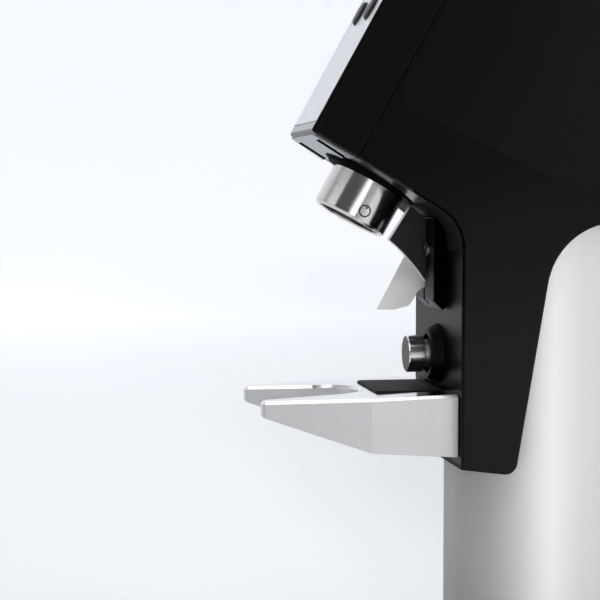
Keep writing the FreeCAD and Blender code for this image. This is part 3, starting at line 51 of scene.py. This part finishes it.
# ---------------------------------------------------------------- materials
class Shade:
    """One node material, built up around a Principled shader."""

    def __init__(self, name):
        self.mat = bpy.data.materials.new(name)
        self.mat.use_nodes = True
        self.tree = self.mat.node_tree
        self.p = next(n for n in self.tree.nodes if n.type == "BSDF_PRINCIPLED")
        self.coords = self.new("ShaderNodeTexCoord").outputs["Object"]
        self.normal = None

    def new(self, kind, **props):
        n = self.tree.nodes.new(kind)
        for k, v in props.items():
            setattr(n, k, v)
        return n

    def put(self, socket, value):
        if isinstance(value, bpy.types.NodeSocket):
            self.tree.links.new(value, socket)
        else:
            socket.default_value = value

    def set(self, **inputs):
        for k, v in inputs.items():
            self.p.inputs[k.replace("_", " ")].default_value = v
        return self

    def drive(self, name, value):
        self.put(self.p.inputs[name], value)

    def along(self, at=(0, 0, 0), turn=(0, 0, 0), stretch=(1, 1, 1)):
        """Object coordinates on other axes, then stretched."""
        m = self.new("ShaderNodeMapping", vector_type="TEXTURE")
        m.inputs["Location"].default_value = at
        m.inputs["Rotation"].default_value = turn
        self.put(m.inputs["Vector"], self.coords)
        if stretch == (1, 1, 1):
            return m.outputs[0]
        m2 = self.new("ShaderNodeMapping", vector_type="POINT")
        m2.inputs["Scale"].default_value = stretch
        self.put(m2.inputs["Vector"], m.outputs[0])
        return m2.outputs[0]

    def noise(self, scale, detail=2.0, rough=0.5, vec=None):
        n = self.new("ShaderNodeTexNoise")
        n.inputs["Scale"].default_value = scale
        n.inputs["Detail"].default_value = detail
        n.inputs["Roughness"].default_value = rough
        self.put(n.inputs["Vector"], vec or self.coords)
        return n.outputs["Fac"]

    def cells(self, scale, vec=None, feature="F1"):
        n = self.new("ShaderNodeTexVoronoi", feature=feature)
        n.inputs["Scale"].default_value = scale
        self.put(n.inputs["Vector"], vec or self.coords)
        return n.outputs["Distance"]

    def math(self, op, a, b=0.0):
        n = self.new("ShaderNodeMath", operation=op)
        self.put(n.inputs[0], a)
        self.put(n.inputs[1], b)
        return n.outputs[0]

    def span(self, value, lo, hi, out_lo, out_hi):
        n = self.new("ShaderNodeMapRange", clamp=True)
        self.put(n.inputs["Value"], value)
        for k, v in zip(("From Min", "From Max", "To Min", "To Max"), (lo, hi, out_lo, out_hi)):
            n.inputs[k].default_value = v
        return n.outputs["Result"]

    def mix(self, fac, a, b):
        n = self.new("ShaderNodeMix", data_type="RGBA")
        self.put(n.inputs["Factor"], fac)
        for i, v in ((6, a), (7, b)):
            self.put(n.inputs[i], v if isinstance(v, bpy.types.NodeSocket) else (*v, 1.0))
        return n.outputs[2]

    def soften(self, radius):
        """Rounds the light on edges, and returns where the edges are, 0 to 1."""
        b = self.new("ShaderNodeBevel", samples=4)
        b.inputs["Radius"].default_value = radius
        self.normal = b.outputs["Normal"]
        g = self.new("ShaderNodeNewGeometry")
        d = self.new("ShaderNodeVectorMath", operation="DOT_PRODUCT")
        self.put(d.inputs[0], b.outputs["Normal"])
        self.put(d.inputs[1], g.outputs["Normal"])
        self.drive("Normal", self.normal)
        return self.span(d.outputs["Value"], 0.995, 0.80, 0.0, 1.0)

    def bump(self, height, strength, distance):
        b = self.new("ShaderNodeBump")
        b.inputs["Strength"].default_value = strength
        b.inputs["Distance"].default_value = distance
        self.put(b.inputs["Height"], height)
        if self.normal is not None:
            self.put(b.inputs["Normal"], self.normal)
        self.normal = b.outputs["Normal"]
        self.drive("Normal", self.normal)


def times(c, k):
    return tuple(min(1.0, v * k) for v in c)


def moulded(name, colour, rough, spec, grain=1700.0, depth=0.00012, wear=1.7, edge=0.0006, low_light=1.0, drop=(0.245, 0.165)):
    """Moulded plastic: eroded grain, faint mottling, edges polished by handling."""
    s = Shade(name)
    rim = s.soften(edge)
    broad = s.noise(11.0, 3.0, 0.55)
    fine = s.noise(grain, 2.0, 0.6)
    base = s.mix(s.span(broad, 0.3, 0.7, 0.0, 1.0), times(colour, 0.86), times(colour, 1.12))
    base = s.mix(s.span(fine, 0.52, 0.75, 0.0, 0.55), base, times(colour, 1.5))
    if low_light != 1.0:
        # painted light: paler lower down, standing in for the light that falls on the lower walls
        height = s.new("ShaderNodeSeparateXYZ")
        s.put(height.inputs[0], s.coords)
        base = s.mix(s.span(height.outputs["Z"], drop[0], drop[1], 0.0, 1.0), base, times(colour, low_light))
    s.drive("Base Color", s.mix(s.math("MULTIPLY", rim, 0.5), base, times(colour, wear)))
    r = s.span(fine, 0.25, 0.75, rough - 0.06, rough + 0.06)
    r = s.math("ADD", r, s.span(broad, 0.3, 0.7, -0.025, 0.025))
    s.drive("Roughness", s.math("SUBTRACT", r, s.math("MULTIPLY", rim, 0.10)))
    s.set(Specular_IOR_Level=spec)
    s.bump(fine, 0.35, depth)
    return s.mat


def turned_steel(name, colour, rough, at=(0, 0, 0), turn=(0, 0, 0), axis=2, lines=5200.0, edge=0.0004, cut=0.05):
    """Lathe-turned and polished: fine rings about one axis."""
    s = Shade(name)
    s.soften(edge)
    stretch = [16.0, 16.0, 16.0]
    stretch[axis] = lines
    rings = s.noise(1.0, 2.0, 0.6, s.along(at, turn, tuple(stretch)))
    haze = s.noise(55.0, 3.0, 0.6)
    s.drive("Base Color", s.mix(s.span(rings, 0.3, 0.7, 0.0, 1.0), times(colour, 0.90), times(colour, 1.08)))
    r = s.span(rings, 0.3, 0.7, rough - 0.035, rough + 0.035)
    s.drive("Roughness", s.math("ADD", r, s.span(haze, 0.35, 0.7, -0.02, 0.03)))
    s.set(Metallic=1.0)
    s.bump(rings, cut, 0.00004)
    return s.mat


def blasted(name, colour, rough, grain=2300.0, depth=0.00006, edge=0.0005, bright=1.25, spread=0.05):
    """Bead-blasted or cast alloy: even grain, slightly cloudy, edges rubbed bright."""
    s = Shade(name)
    rim = s.soften(edge)
    fine = s.noise(grain, 3.0, 0.6)
    cloud = s.noise(34.0, 4.0, 0.6)
    base = s.mix(s.span(cloud, 0.3, 0.7, 0.0, 1.0), times(colour, 0.95), times(colour, 1.04))
    base = s.mix(s.span(fine, 0.3, 0.75, 0.0, 0.5), base, times(colour, 0.86))
    s.drive("Base Color", s.mix(rim, base, times(colour, bright)))
    r = s.span(fine, 0.25, 0.75, rough - spread, rough + spread)
    r = s.math("ADD", r, s.span(cloud, 0.3, 0.7, -0.03, 0.03))
    s.drive("Roughness", s.math("SUBTRACT", r, s.math("MULTIPLY", rim, 0.16)))
    s.set(Metallic=1.0)
    s.bump(fine, 0.3, depth)
    return s.mat


def brushed(name, colour, rough, run=(1, 1, 1), turn=(0, 0, 0), edge=0.0003, tint=0.07, light_fade=None):
    """Sheet metal with a fine directional grain; run is low along the grain."""
    s = Shade(name)
    rim = s.soften(edge)
    grain = s.noise(1.0, 3.0, 0.65, s.along((0, 0, 0), turn, run))
    cloud = s.noise(26.0, 3.0, 0.6)
    base = s.mix(s.span(grain, 0.25, 0.75, 0.0, 1.0), times(colour, 1 - tint), times(colour, 1 + tint))
    base = s.mix(s.span(cloud, 0.35, 0.7, 0.0, 0.35), base, times(colour, 0.93))
    if light_fade:
        # painted light: paler toward the lower end, z to z, standing in for the light that falls there
        height = s.new("ShaderNodeSeparateXYZ")
        s.put(height.inputs[0], s.coords)
        base = s.mix(s.span(height.outputs["Z"], light_fade[0], light_fade[1], 0.0, 1.0), base, times(colour, light_fade[2]))
    s.drive("Base Color", s.mix(s.math("MULTIPLY", rim, 0.5), base, times(colour, 1.2)))
    r = s.span(grain, 0.25, 0.75, rough - 0.06, rough + 0.06)
    s.drive("Roughness", s.math("ADD", r, s.span(cloud, 0.3, 0.7, -0.02, 0.03)))
    s.set(Metallic=1.0)
    s.bump(grain, 0.12, 0.00004)
    return s.mat


def painted(name, colour, rough, flake=0.0, metallic=0.0, spec=0.4, grain=900.0, edge=0.0005, orange=0.00003, light_fade=None):
    """Sprayed finish: orange peel, faint flake."""
    s = Shade(name)
    rim = s.soften(edge)
    peel = s.noise(grain, 2.0, 0.5)
    speck = s.noise(4200.0, 1.0, 0.5)
    cloud = s.noise(14.0, 3.0, 0.5)
    base = s.mix(s.span(cloud, 0.3, 0.7, 0.0, 1.0), times(colour, 0.965), times(colour, 1.025))
    base = s.mix(s.span(speck, 0.45, 0.75, 0.0, flake), base, times(colour, 1.25))
    if light_fade:
        # painted light: paler along the flank, y to y and back, standing in for the light from the right
        depth = s.new("ShaderNodeSeparateXYZ")
        s.put(depth.inputs[0], s.coords)
        share = s.math("MULTIPLY", s.span(depth.outputs["Y"], light_fade[0], light_fade[1], 0.0, 1.0), s.span(depth.outputs["Y"], light_fade[1], light_fade[3], 1.0, 0.0))
        base = s.mix(share, base, times(colour, light_fade[2]))
    s.drive("Base Color", s.mix(s.math("MULTIPLY", rim, 0.35), base, times(colour, 1.18)))
    s.drive("Roughness", s.span(peel, 0.25, 0.75, rough - 0.05, rough + 0.05))
    s.set(Metallic=metallic, Specular_IOR_Level=spec)
    s.bump(peel, 0.2, orange)
    return s.mat


def soft_rubber(name, colour):
    s = Shade(name)
    rim = s.soften(0.0008)
    fine = s.noise(1300.0, 3.0, 0.65)
    dust = s.noise(60.0, 4.0, 0.65)
    base = s.mix(s.span(dust, 0.4, 0.75, 0.0, 0.6), colour, times(colour, 1.7))
    s.drive("Base Color", s.mix(s.math("MULTIPLY", rim, 0.6), base, times(colour, 2.0)))
    s.drive("Roughness", s.span(fine, 0.3, 0.7, 0.62, 0.80))
    s.set(Specular_IOR_Level=0.25)
    s.bump(fine, 0.4, 0.0001)
    return s.mat


def clear(name, colour, rough=0.04):
    """Clear moulding: faint flow lines and handling haze."""
    s = Shade(name)
    flow = s.noise(1.0, 2.0, 0.5, s.along((0, 0, 0), (0, 0, 0), (24.0, 24.0, 160.0)))
    haze = s.noise(90.0, 4.0, 0.65)
    s.drive("Base Color", s.mix(s.span(haze, 0.35, 0.75, 0.0, 0.6), colour, times(colour, 0.94)))
    s.drive("Roughness", s.span(haze, 0.4, 0.8, rough, rough + 0.09))
    s.set(Transmission_Weight=0.96, IOR=1.49)
    s.bump(flow, 0.04, 0.0003)
    return s.mat


def dark_window(name, colour):
    s = Shade(name)
    s.soften(0.0003)
    smear = s.noise(70.0, 4.0, 0.6)
    s.drive("Base Color", s.mix(s.span(smear, 0.3, 0.7, 0.0, 1.0), colour, times(colour, 1.6)))
    s.drive("Roughness", s.span(smear, 0.35, 0.75, 0.05, 0.16))
    s.set(Specular_IOR_Level=0.5, Coat_Weight=0.6, Coat_Roughness=0.05)
    return s.mat


def board(name, colour):
    """Circuit board: lacquer over a faint grid of tracks."""
    s = Shade(name)
    s.soften(0.0002)
    tracks = s.cells(420.0, feature="DISTANCE_TO_EDGE")
    pads = s.cells(900.0)
    base = s.mix(s.span(tracks, 0.04, 0.07, 1.0, 0.0), colour, times(colour, 1.9))
    s.drive("Base Color", s.mix(s.span(pads, 0.10, 0.13, 1.0, 0.0), base, (0.55, 0.52, 0.42)))
    s.drive("Roughness", s.span(s.noise(300.0), 0.3, 0.7, 0.28, 0.42))
    s.bump(s.span(tracks, 0.03, 0.08, 1.0, 0.0), 0.3, 0.00005)
    return s.mat


LEAN = (-TILT, 0.0, 0.0)
AT = tuple(TILT_AT)
BLACK = (0.0023, 0.0023, 0.0025)
M = {
    # the body's black is paler lower down: painted light
    "body": moulded("body_black", BLACK, 0.60, 0.07, edge=0.0003, low_light=4.6),
    "side": moulded("side_black", times(BLACK, 1.5), 0.60, 0.075, edge=0.00005),
    "under": moulded("under_black", times(BLACK, 1.2), 0.27, 0.40, grain=2600.0, depth=0.00001),
    "rim": moulded("rim_black", (0.0150, 0.0140, 0.0130), 0.42, 0.22, grain=2600.0, depth=0.00003),
    "cover": moulded("cover_black", times(BLACK, 0.85), 0.58, 0.09),
    "panel": moulded("panel_black", (0.0024, 0.0025, 0.0029), 0.31, 0.031, grain=2600.0, depth=0.00005),
    "fillet": moulded("fillet_black", (0.0075, 0.0075, 0.0080), 0.56, 0.03, grain=2600.0, depth=0.00005),
    "satin": moulded("satin_black", (0.0165, 0.0172, 0.0186), 0.44, 0.28, grain=2400.0, depth=0.00006),
    "collar": moulded("collar_black", (0.0026, 0.0026, 0.0029), 0.50, 0.13, grain=2400.0, depth=0.00005),
    "neckline": moulded("neckline_black", (0.0008, 0.0008, 0.0009), 0.50, 0.012, grain=2400.0, depth=0.00005),
    # the bar's near-black is paler toward its lower end: painted light
    "bar": moulded("bar_black", (0.0020, 0.0020, 0.0021), 0.46, 0.06, grain=2400.0, depth=0.00005, low_light=38.0, drop=(0.203, 0.189)),
    "flange": moulded("flange_black", (0.0013, 0.0013, 0.0014), 0.62, 0.02, grain=2400.0, depth=0.00004),
    "gloss": moulded("gloss_black", (0.010, 0.010, 0.011), 0.17, 0.5, grain=900.0, depth=0.00002),
    "silver": painted("silver_lacquer", (0.435, 0.452, 0.478), 0.38, flake=0.15, metallic=0.7, grain=2600.0, orange=0.000006),
    "plate": painted("silver_plate", (0.355, 0.367, 0.385), 0.38, flake=0.15, metallic=0.7, grain=2600.0, orange=0.000006),
    "band": painted("silver_band", (0.125, 0.125, 0.128), 0.42, flake=0.10, metallic=0.6, grain=2600.0, orange=0.000006),
    "pale": painted("pale_lacquer", (0.80, 0.82, 0.85), 0.30, flake=0.08, metallic=0.25, grain=2600.0, orange=0.000004),
    "base": painted("black_coat", (0.012, 0.012, 0.013), 0.55, spec=0.3, grain=1500.0, orange=0.00010),
    # the column is paler along its flank: painted light
    "column": painted("column_satin", (0.462, 0.459, 0.455), 0.55, flake=0.10, metallic=0.0, spec=0.2, grain=1600.0, light_fade=(0.0, 0.036, 1.98, 0.066)),
    "motor": painted("motor_paint", (0.05, 0.05, 0.055), 0.45),
    "ring": turned_steel("ring_steel", (0.66, 0.645, 0.62), 0.16, AT, LEAN),
    "button": turned_steel("button_steel", (0.84, 0.835, 0.82), 0.17, axis=1, lines=1500.0, cut=0.006),
    "face": moulded("button_face", (0.014, 0.0138, 0.0135), 0.40, 0.22, grain=2600.0, depth=0.00002),
    "stem": turned_steel("stem_steel", (0.92, 0.91, 0.89), 0.42, axis=1, lines=1500.0, cut=0.006),
    "carrier": turned_steel("carrier_steel", (0.60, 0.59, 0.57), 0.25, AT, LEAN),
    "shaft": turned_steel("ground_steel", (0.55, 0.55, 0.55), 0.24, AT, LEAN),
    "burr": blasted("burr_steel", (0.40, 0.40, 0.42), 0.30, grain=1800.0),
    "fork": blasted("fork_alloy", (0.69, 0.69, 0.69), 0.44),
    "edge": blasted("fork_edge", (0.86, 0.865, 0.87), 0.22, grain=900.0, depth=0.00002),
    "polish": blasted("fork_top", (0.74, 0.745, 0.755), 0.13, grain=1200.0, depth=0.00001),
    "fin": blasted("fin_edge", (0.50, 0.50, 0.505), 0.34, grain=1800.0, depth=0.00003),
    "cast": blasted("cast_alloy", (0.55, 0.56, 0.57), 0.50, grain=900.0, depth=0.00015),
    # the chute is paler toward its lower end: painted light
    "chute": brushed("chute_steel", (0.77, 0.755, 0.735), 0.36, run=(700.0, 700.0, 2600.0), light_fade=(0.2010, 0.1940, 1.27)),
    "tray": brushed("tray_steel", (0.66, 0.655, 0.64), 0.30, run=(40.0, 2600.0, 2600.0)),
    "sheet": brushed("cover_steel", (0.55, 0.54, 0.52), 0.36, run=(40.0, 2600.0, 2600.0)),
    "screw": turned_steel("screw_bright", (0.29, 0.286, 0.28), 0.22, axis=1, lines=2600.0, edge=0.0003),
    "gear": moulded("gear_polymer", (0.66, 0.62, 0.52), 0.45, 0.4, grain=1500.0, wear=1.1),
    "rubber": soft_rubber("soft_rubber", (0.010, 0.010, 0.011)),
    "pcb": board("board_lacquer", (0.012, 0.085, 0.035)),
    "glass": dark_window("window_dark", (0.004, 0.004, 0.006)),
    "clear": clear("hopper_clear", (0.93, 0.94, 0.93)),
    "mark": moulded("mark_etch", (0.055, 0.048, 0.036), 0.5, 0.25, grain=3000.0, depth=0.00002),
}
WEARS = {
    "body": ["main_housing", "top_deck", "rear_cover"],
    "side": ["side_panels"],
    "cover": ["front_cover"],
    "panel": ["neck_panel"],
    "satin": ["chute_holder", "feed_throat", "sensor_bracket", "power_inlet", "switch_frame", "hopper_gate", "dose_button_single", "dose_button_double"],
    "collar": ["button_collar"],
    "flange": ["ring_flange"],
    "gloss": ["hopper_lid", "power_rocker"],
    "silver": ["fascia_frame"],
    "pale": ["fascia_panel"],
    "glass": ["display_window"],
    "base": ["base_plate"],
    "column": ["column_tube"],
    "motor": ["motor_can"],
    "ring": ["adjust_ring"],
    "button": ["push_button"],
    "carrier": ["burr_carrier"],
    "shaft": ["bearing_inner_races", "bearing_outer_races", "bearing_balls", "idler_axle", "motor_rotor", "ring_clip", "button_clip", "button_spring", "pinion", "burr_gear"],
    "burr": ["cone_burr", "ring_burr"],
    "fork": ["fork"],
    "cast": ["burr_housing", "motor_plate", "column_foot", "column_head"],
    "chute": ["chute"],
    "tray": ["grounds_tray"],
    "sheet": ["base_cover"],
    "screw": ["rear_screws", "column_screws", "chassis_screws", "chute_screws", "fork_screws", "burr_screw"],
    "gear": ["idler_gear"],
    "rubber": ["rubber_feet", "fork_pad"],
    "pcb": ["sensor_board", "control_board", "power_board"],
    "clear": ["hopper"],
}
for key, names in WEARS.items():
    for n in names:
        o = NODES[n]
        o.data.materials.clear()
        o.data.materials.append(M[key])


def also(node, key, test):
    """A second finish on the faces of a node that pass a test of centre and normal, in millimetres."""
    data = NODES[node].data
    world = NODES[node].matrix_world
    turn = world.to_3x3()
    data.materials.append(M[key])
    for f in data.polygons:
        if test(world @ f.center * 1000, (turn @ f.normal).normalized()):
            f.material_index = len(data.materials) - 1


also("fork", "edge", lambda c, n: c.z > 146.5 and 0.25 < n.z < 0.97)
also("fork", "polish", lambda c, n: c.z > 148.0 and n.z > 0.97)
FRONT, UNDER = Vector((0.0, -0.875, 0.485)), Vector((0.0, -0.530, -0.848))


def ahead(c):
    """How far a point lies ahead of the burr axis, and how far below the axis' mark, along the head's own faces."""
    d = c - TILT_AT * 1000
    return d.dot(FRONT), d.dot(UNDER)


# faces turned sideways take the black cover finish: on the slot walls it is painted shade inside the slots, and it also
# takes the side faces furthest ahead, below the underside
also("fascia_frame", "cover", lambda c, n: abs(n.x) > 0.4 and (abs(c.x) < 28.3 and ahead(c)[0] < 31.6 or ahead(c)[0] > 33.3 and ahead(c)[1] < -0.95))
# the frame's downward faces take a darker silver: painted shade
also("fascia_frame", "plate", lambda c, n: n.dot(UNDER) > 0.95 and c.z < 262.0)
# the rounded edge between front and underside takes a dark silver: painted shade
also("fascia_frame", "band", lambda c, n: abs(n.x) <= 0.4 and c.z < 262.0 and (0.12 < n.dot(FRONT) < 0.985 and n.dot(UNDER) > 0.15 or n.dot(FRONT) > 0.9 and ahead(c)[1] > -1.02))
also("main_housing", "under", lambda c, n: n.z < -0.25 and n.y < -0.2 and abs(n.x) < 0.12 and c.z < 250.0 and c.y < -4.0)
# the lower rounded edges take a paler black: painted reflection of the floor below
also("main_housing", "rim", lambda c, n: n.z < -0.15 and n.y < -0.08 and 0.15 < abs(n.x) < 0.97 and c.z < 262.0 and c.y < -25.0)
# the neck's side edges take a near-black: painted shade
also("main_housing", "neckline", lambda c, n: n.y < -0.08 and 0.15 < abs(n.x) < 0.97 and -25.0 <= c.y < 0.0 and 150.0 < c.z < 236.0)
# the neck panel's fillet takes a paler, rougher black: painted sheen
also("neck_panel", "fillet", lambda c, n: c.z > 207.0 and n.y < -0.05)
# the cover's lower rounded edges take the same paler black: painted reflection of the floor below
also("front_cover", "rim", lambda c, n: n.z < -0.15 and 0.15 < abs(n.x) < 0.97 and c.z < 262.0)
# the stem takes a paler, rougher steel than the button: the paler colour is painted light on the stem in the collar's
# shade
also("push_button", "stem", lambda c, n: c.y > -12.3)
# the steel button's front face takes a near-black finish: painted dark reflection
also("push_button", "face", lambda c, n: n.y < -0.95 and c.y < -18.0)
# the holder bar's sides take the same near-black: painted shade
also("chute_holder", "neckline", lambda c, n: abs(n.x) > 0.5 and c.y > -11.2 and abs(c.x) > 6.0)
# the bar's front face: near-black, paler toward its lower end, painted light
also("chute_holder", "bar", lambda c, n: n.y < -0.6 and -11.2 < c.y < -10.5 and abs(n.z) < 0.3)
also("chute_holder", "fin", lambda c, n: abs(n.x) < 0.3 and abs(c.x) < 2.7 and c.y < -11.3 and n.y < -0.2)
assert all(len(o.data.materials) and o.data.materials[0] in M.values() for o in NODES.values())


# ---------------------------------------------------------------- index mark on the adjust ring
def on_ring(arc, height, r):
    """A point on the ring's side: along its circumference and its axis, in millimetres."""
    a = math.radians(6.0) + arc / 16.5
    return tilted(r * math.cos(a), r * math.sin(a), -13.8 + height)


def etched(bm, arc, height, inner, outer, steps):
    """A thin raised round or ring that follows the ring's side."""
    rows = []
    for k in range(steps):
        t = 2 * math.pi * k / steps
        rows.append([bm.verts.new(on_ring(arc + q * math.cos(t), height + q * math.sin(t), r))
                     for q, r in ((inner, 16.505), (inner, 16.53), (outer, 16.53), (outer, 16.505))])
    for k in range(steps):
        a, b = rows[k], rows[(k + 1) % steps]
        for i in range(4):
            j = (i + 1) % 4
            bm.faces.new((a[i], a[j], b[j], b[i]))


bm = bmesh.new()
etched(bm, 0.0, 0.0, 2.05, 2.70, 56)
etched(bm, 0.0, 1.48, 0.10, 0.50, 24)
bmesh.ops.recalc_face_normals(bm, faces=bm.faces)
mesh = bpy.data.meshes.new("ring_mark")
bm.to_mesh(mesh)
bm.free()
mark = bpy.data.objects.new("ring_mark", mesh)
bpy.context.scene.collection.objects.link(mark)
mark.data.materials.append(M["mark"])
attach(mark, "adjuster")
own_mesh(NODES["button_spring"])


# ---------------------------------------------------------------- stage
def sweep(name, profile, half):
    """A sheet swept along Y, half on each side, from an X-Z profile."""
    bm = bmesh.new()
    rows = [[bm.verts.new((x, y, z)) for x, z in profile] for y in (-half, half)]
    for i in range(len(profile) - 1):
        bm.faces.new((rows[0][i], rows[0][i + 1], rows[1][i + 1], rows[1][i]))
    mesh = bpy.data.meshes.new(name)
    bm.to_mesh(mesh)
    bm.free()
    o = bpy.data.objects.new(name, mesh)
    bpy.context.scene.collection.objects.link(o)
    for f in mesh.polygons:
        f.use_smooth = True
    return o


arc = [(-2.6 - 1.4 * math.sin(math.radians(a)), 1.4 - 1.4 * math.cos(math.radians(a))) for a in range(0, 91, 6)]
floor = sweep("floor", [(5.0, 0.0)] + arc + [(-4.0, 5.0)], 7.0)
s = Shade("floor_pale")
s.drive("Base Color", s.mix(s.span(s.noise(3.0, 3.0, 0.5), 0.3, 0.7, 0.0, 1.0), (0.80, 0.815, 0.84), (0.82, 0.832, 0.85)))
s.drive("Roughness", s.span(s.noise(200.0), 0.3, 0.7, 0.75, 0.85))
place = s.new("ShaderNodeSeparateXYZ")
s.put(place.inputs[0], s.coords)
# The floor glows, rising toward -X, and lights the head's underside from below: painted light. It darkens toward +Y,
# and more beside the object: painted shade, the nearer part a painted shadow of the object.
glow = s.math("ADD", s.span(place.outputs["X"], 0.7, -0.3, 0.06, 0.27), s.span(place.outputs["X"], -0.3, -2.4, 0.0, 0.36))
far = s.math("MULTIPLY", s.span(place.outputs["Y"], -0.1, 0.5, 0.016, -0.105), s.span(place.outputs["Z"], 0.0, 0.12, 1.0, 0.0))
near = s.math("MULTIPLY", s.span(place.outputs["Y"], 0.0, 0.16, 0.02, -0.11), s.span(place.outputs["X"], -1.3, -0.6, 0.0, 1.0))
s.drive("Emission Strength", s.math("ADD", glow, s.math("ADD", far, near)))
s.set(Specular_IOR_Level=0.1, Emission_Color=(0.945, 0.96, 1.0, 1.0))
floor.data.materials.append(s.mat)


def softbox(name, at, aim, wide, high, radiance, colour=(1, 1, 1)):
    light = bpy.data.lights.new(name, "AREA")
    light.shape = "RECTANGLE"
    light.size, light.size_y = wide, high
    light.energy = radiance * math.pi * wide * high
    light.color = colour
    o = bpy.data.objects.new(name, light)
    bpy.context.scene.collection.objects.link(o)
    o.location = at
    o.rotation_mode = "QUATERNION"
    o.rotation_quaternion = (Vector(aim) - Vector(at)).to_track_quat("-Z", "Y")
    return o


softbox("key", (1.45, -0.22, 0.36), (0.0, -0.03, 0.22), 0.55, 0.31, 2.3)
softbox("side", (1.45, 0.47, 0.22), (0.0, 0.0, 0.20), 0.66, 0.42, 0.40)
softbox("right", (1.0, 1.5, 0.50), (0.0, 0.03, 0.12), 1.50, 0.90, 5.8)
softbox("top", (0.45, -0.05, 1.55), (0.0, 0.0, 0.2), 1.2, 1.1, 1.7)
softbox("front", (0.3, -2.2, 1.1), (0.0, 0.0, 0.2), 1.4, 1.0, 1.15)
softbox("rear", (-0.4, 2.2, 1.0), (0.0, 0.0, 0.2), 1.4, 1.0, 1.0)

world = bpy.data.worlds.new("studio")
bpy.context.scene.world = world
world.use_nodes = True
wt = world.node_tree
bg = next(n for n in wt.nodes if n.type == "BACKGROUND")
tc = wt.nodes.new("ShaderNodeTexCoord")
sep = wt.nodes.new("ShaderNodeSeparateXYZ")
wt.links.new(tc.outputs["Generated"], sep.inputs[0])
ramp = wt.nodes.new("ShaderNodeMapRange")
ramp.inputs["From Min"].default_value, ramp.inputs["From Max"].default_value = 0.3, -0.7
ramp.inputs["To Min"].default_value, ramp.inputs["To Max"].default_value = 0.11, 0.80
wt.links.new(sep.outputs["X"], ramp.inputs["Value"])
bg.inputs["Color"].default_value = (0.94, 0.96, 1.0, 1.0)
wt.links.new(ramp.outputs["Result"], bg.inputs["Strength"])

# ---------------------------------------------------------------- camera
cam = bpy.data.cameras.new("camera")
cam.sensor_fit = "HORIZONTAL"
cam.sensor_width = 36.0
cam.lens = 103.03
cam.clip_start, cam.clip_end = 0.02, 50.0
eye = bpy.data.objects.new("camera", cam)
bpy.context.scene.collection.objects.link(eye)
right, up, fore = Vector((0.15919, 0.98725, 0.0)), Vector((-0.062333, 0.010051, 0.998009)), Vector((-0.98528, 0.15887, -0.063138))
pose = Matrix((right, up, -fore)).transposed().to_4x4()
pose.translation = Vector((0.72275, -0.18194, 0.23491))
eye.matrix_world = pose
bpy.context.scene.camera = eye

view = bpy.context.scene.view_settings
view.view_transform = "Standard"
view.look = "None"
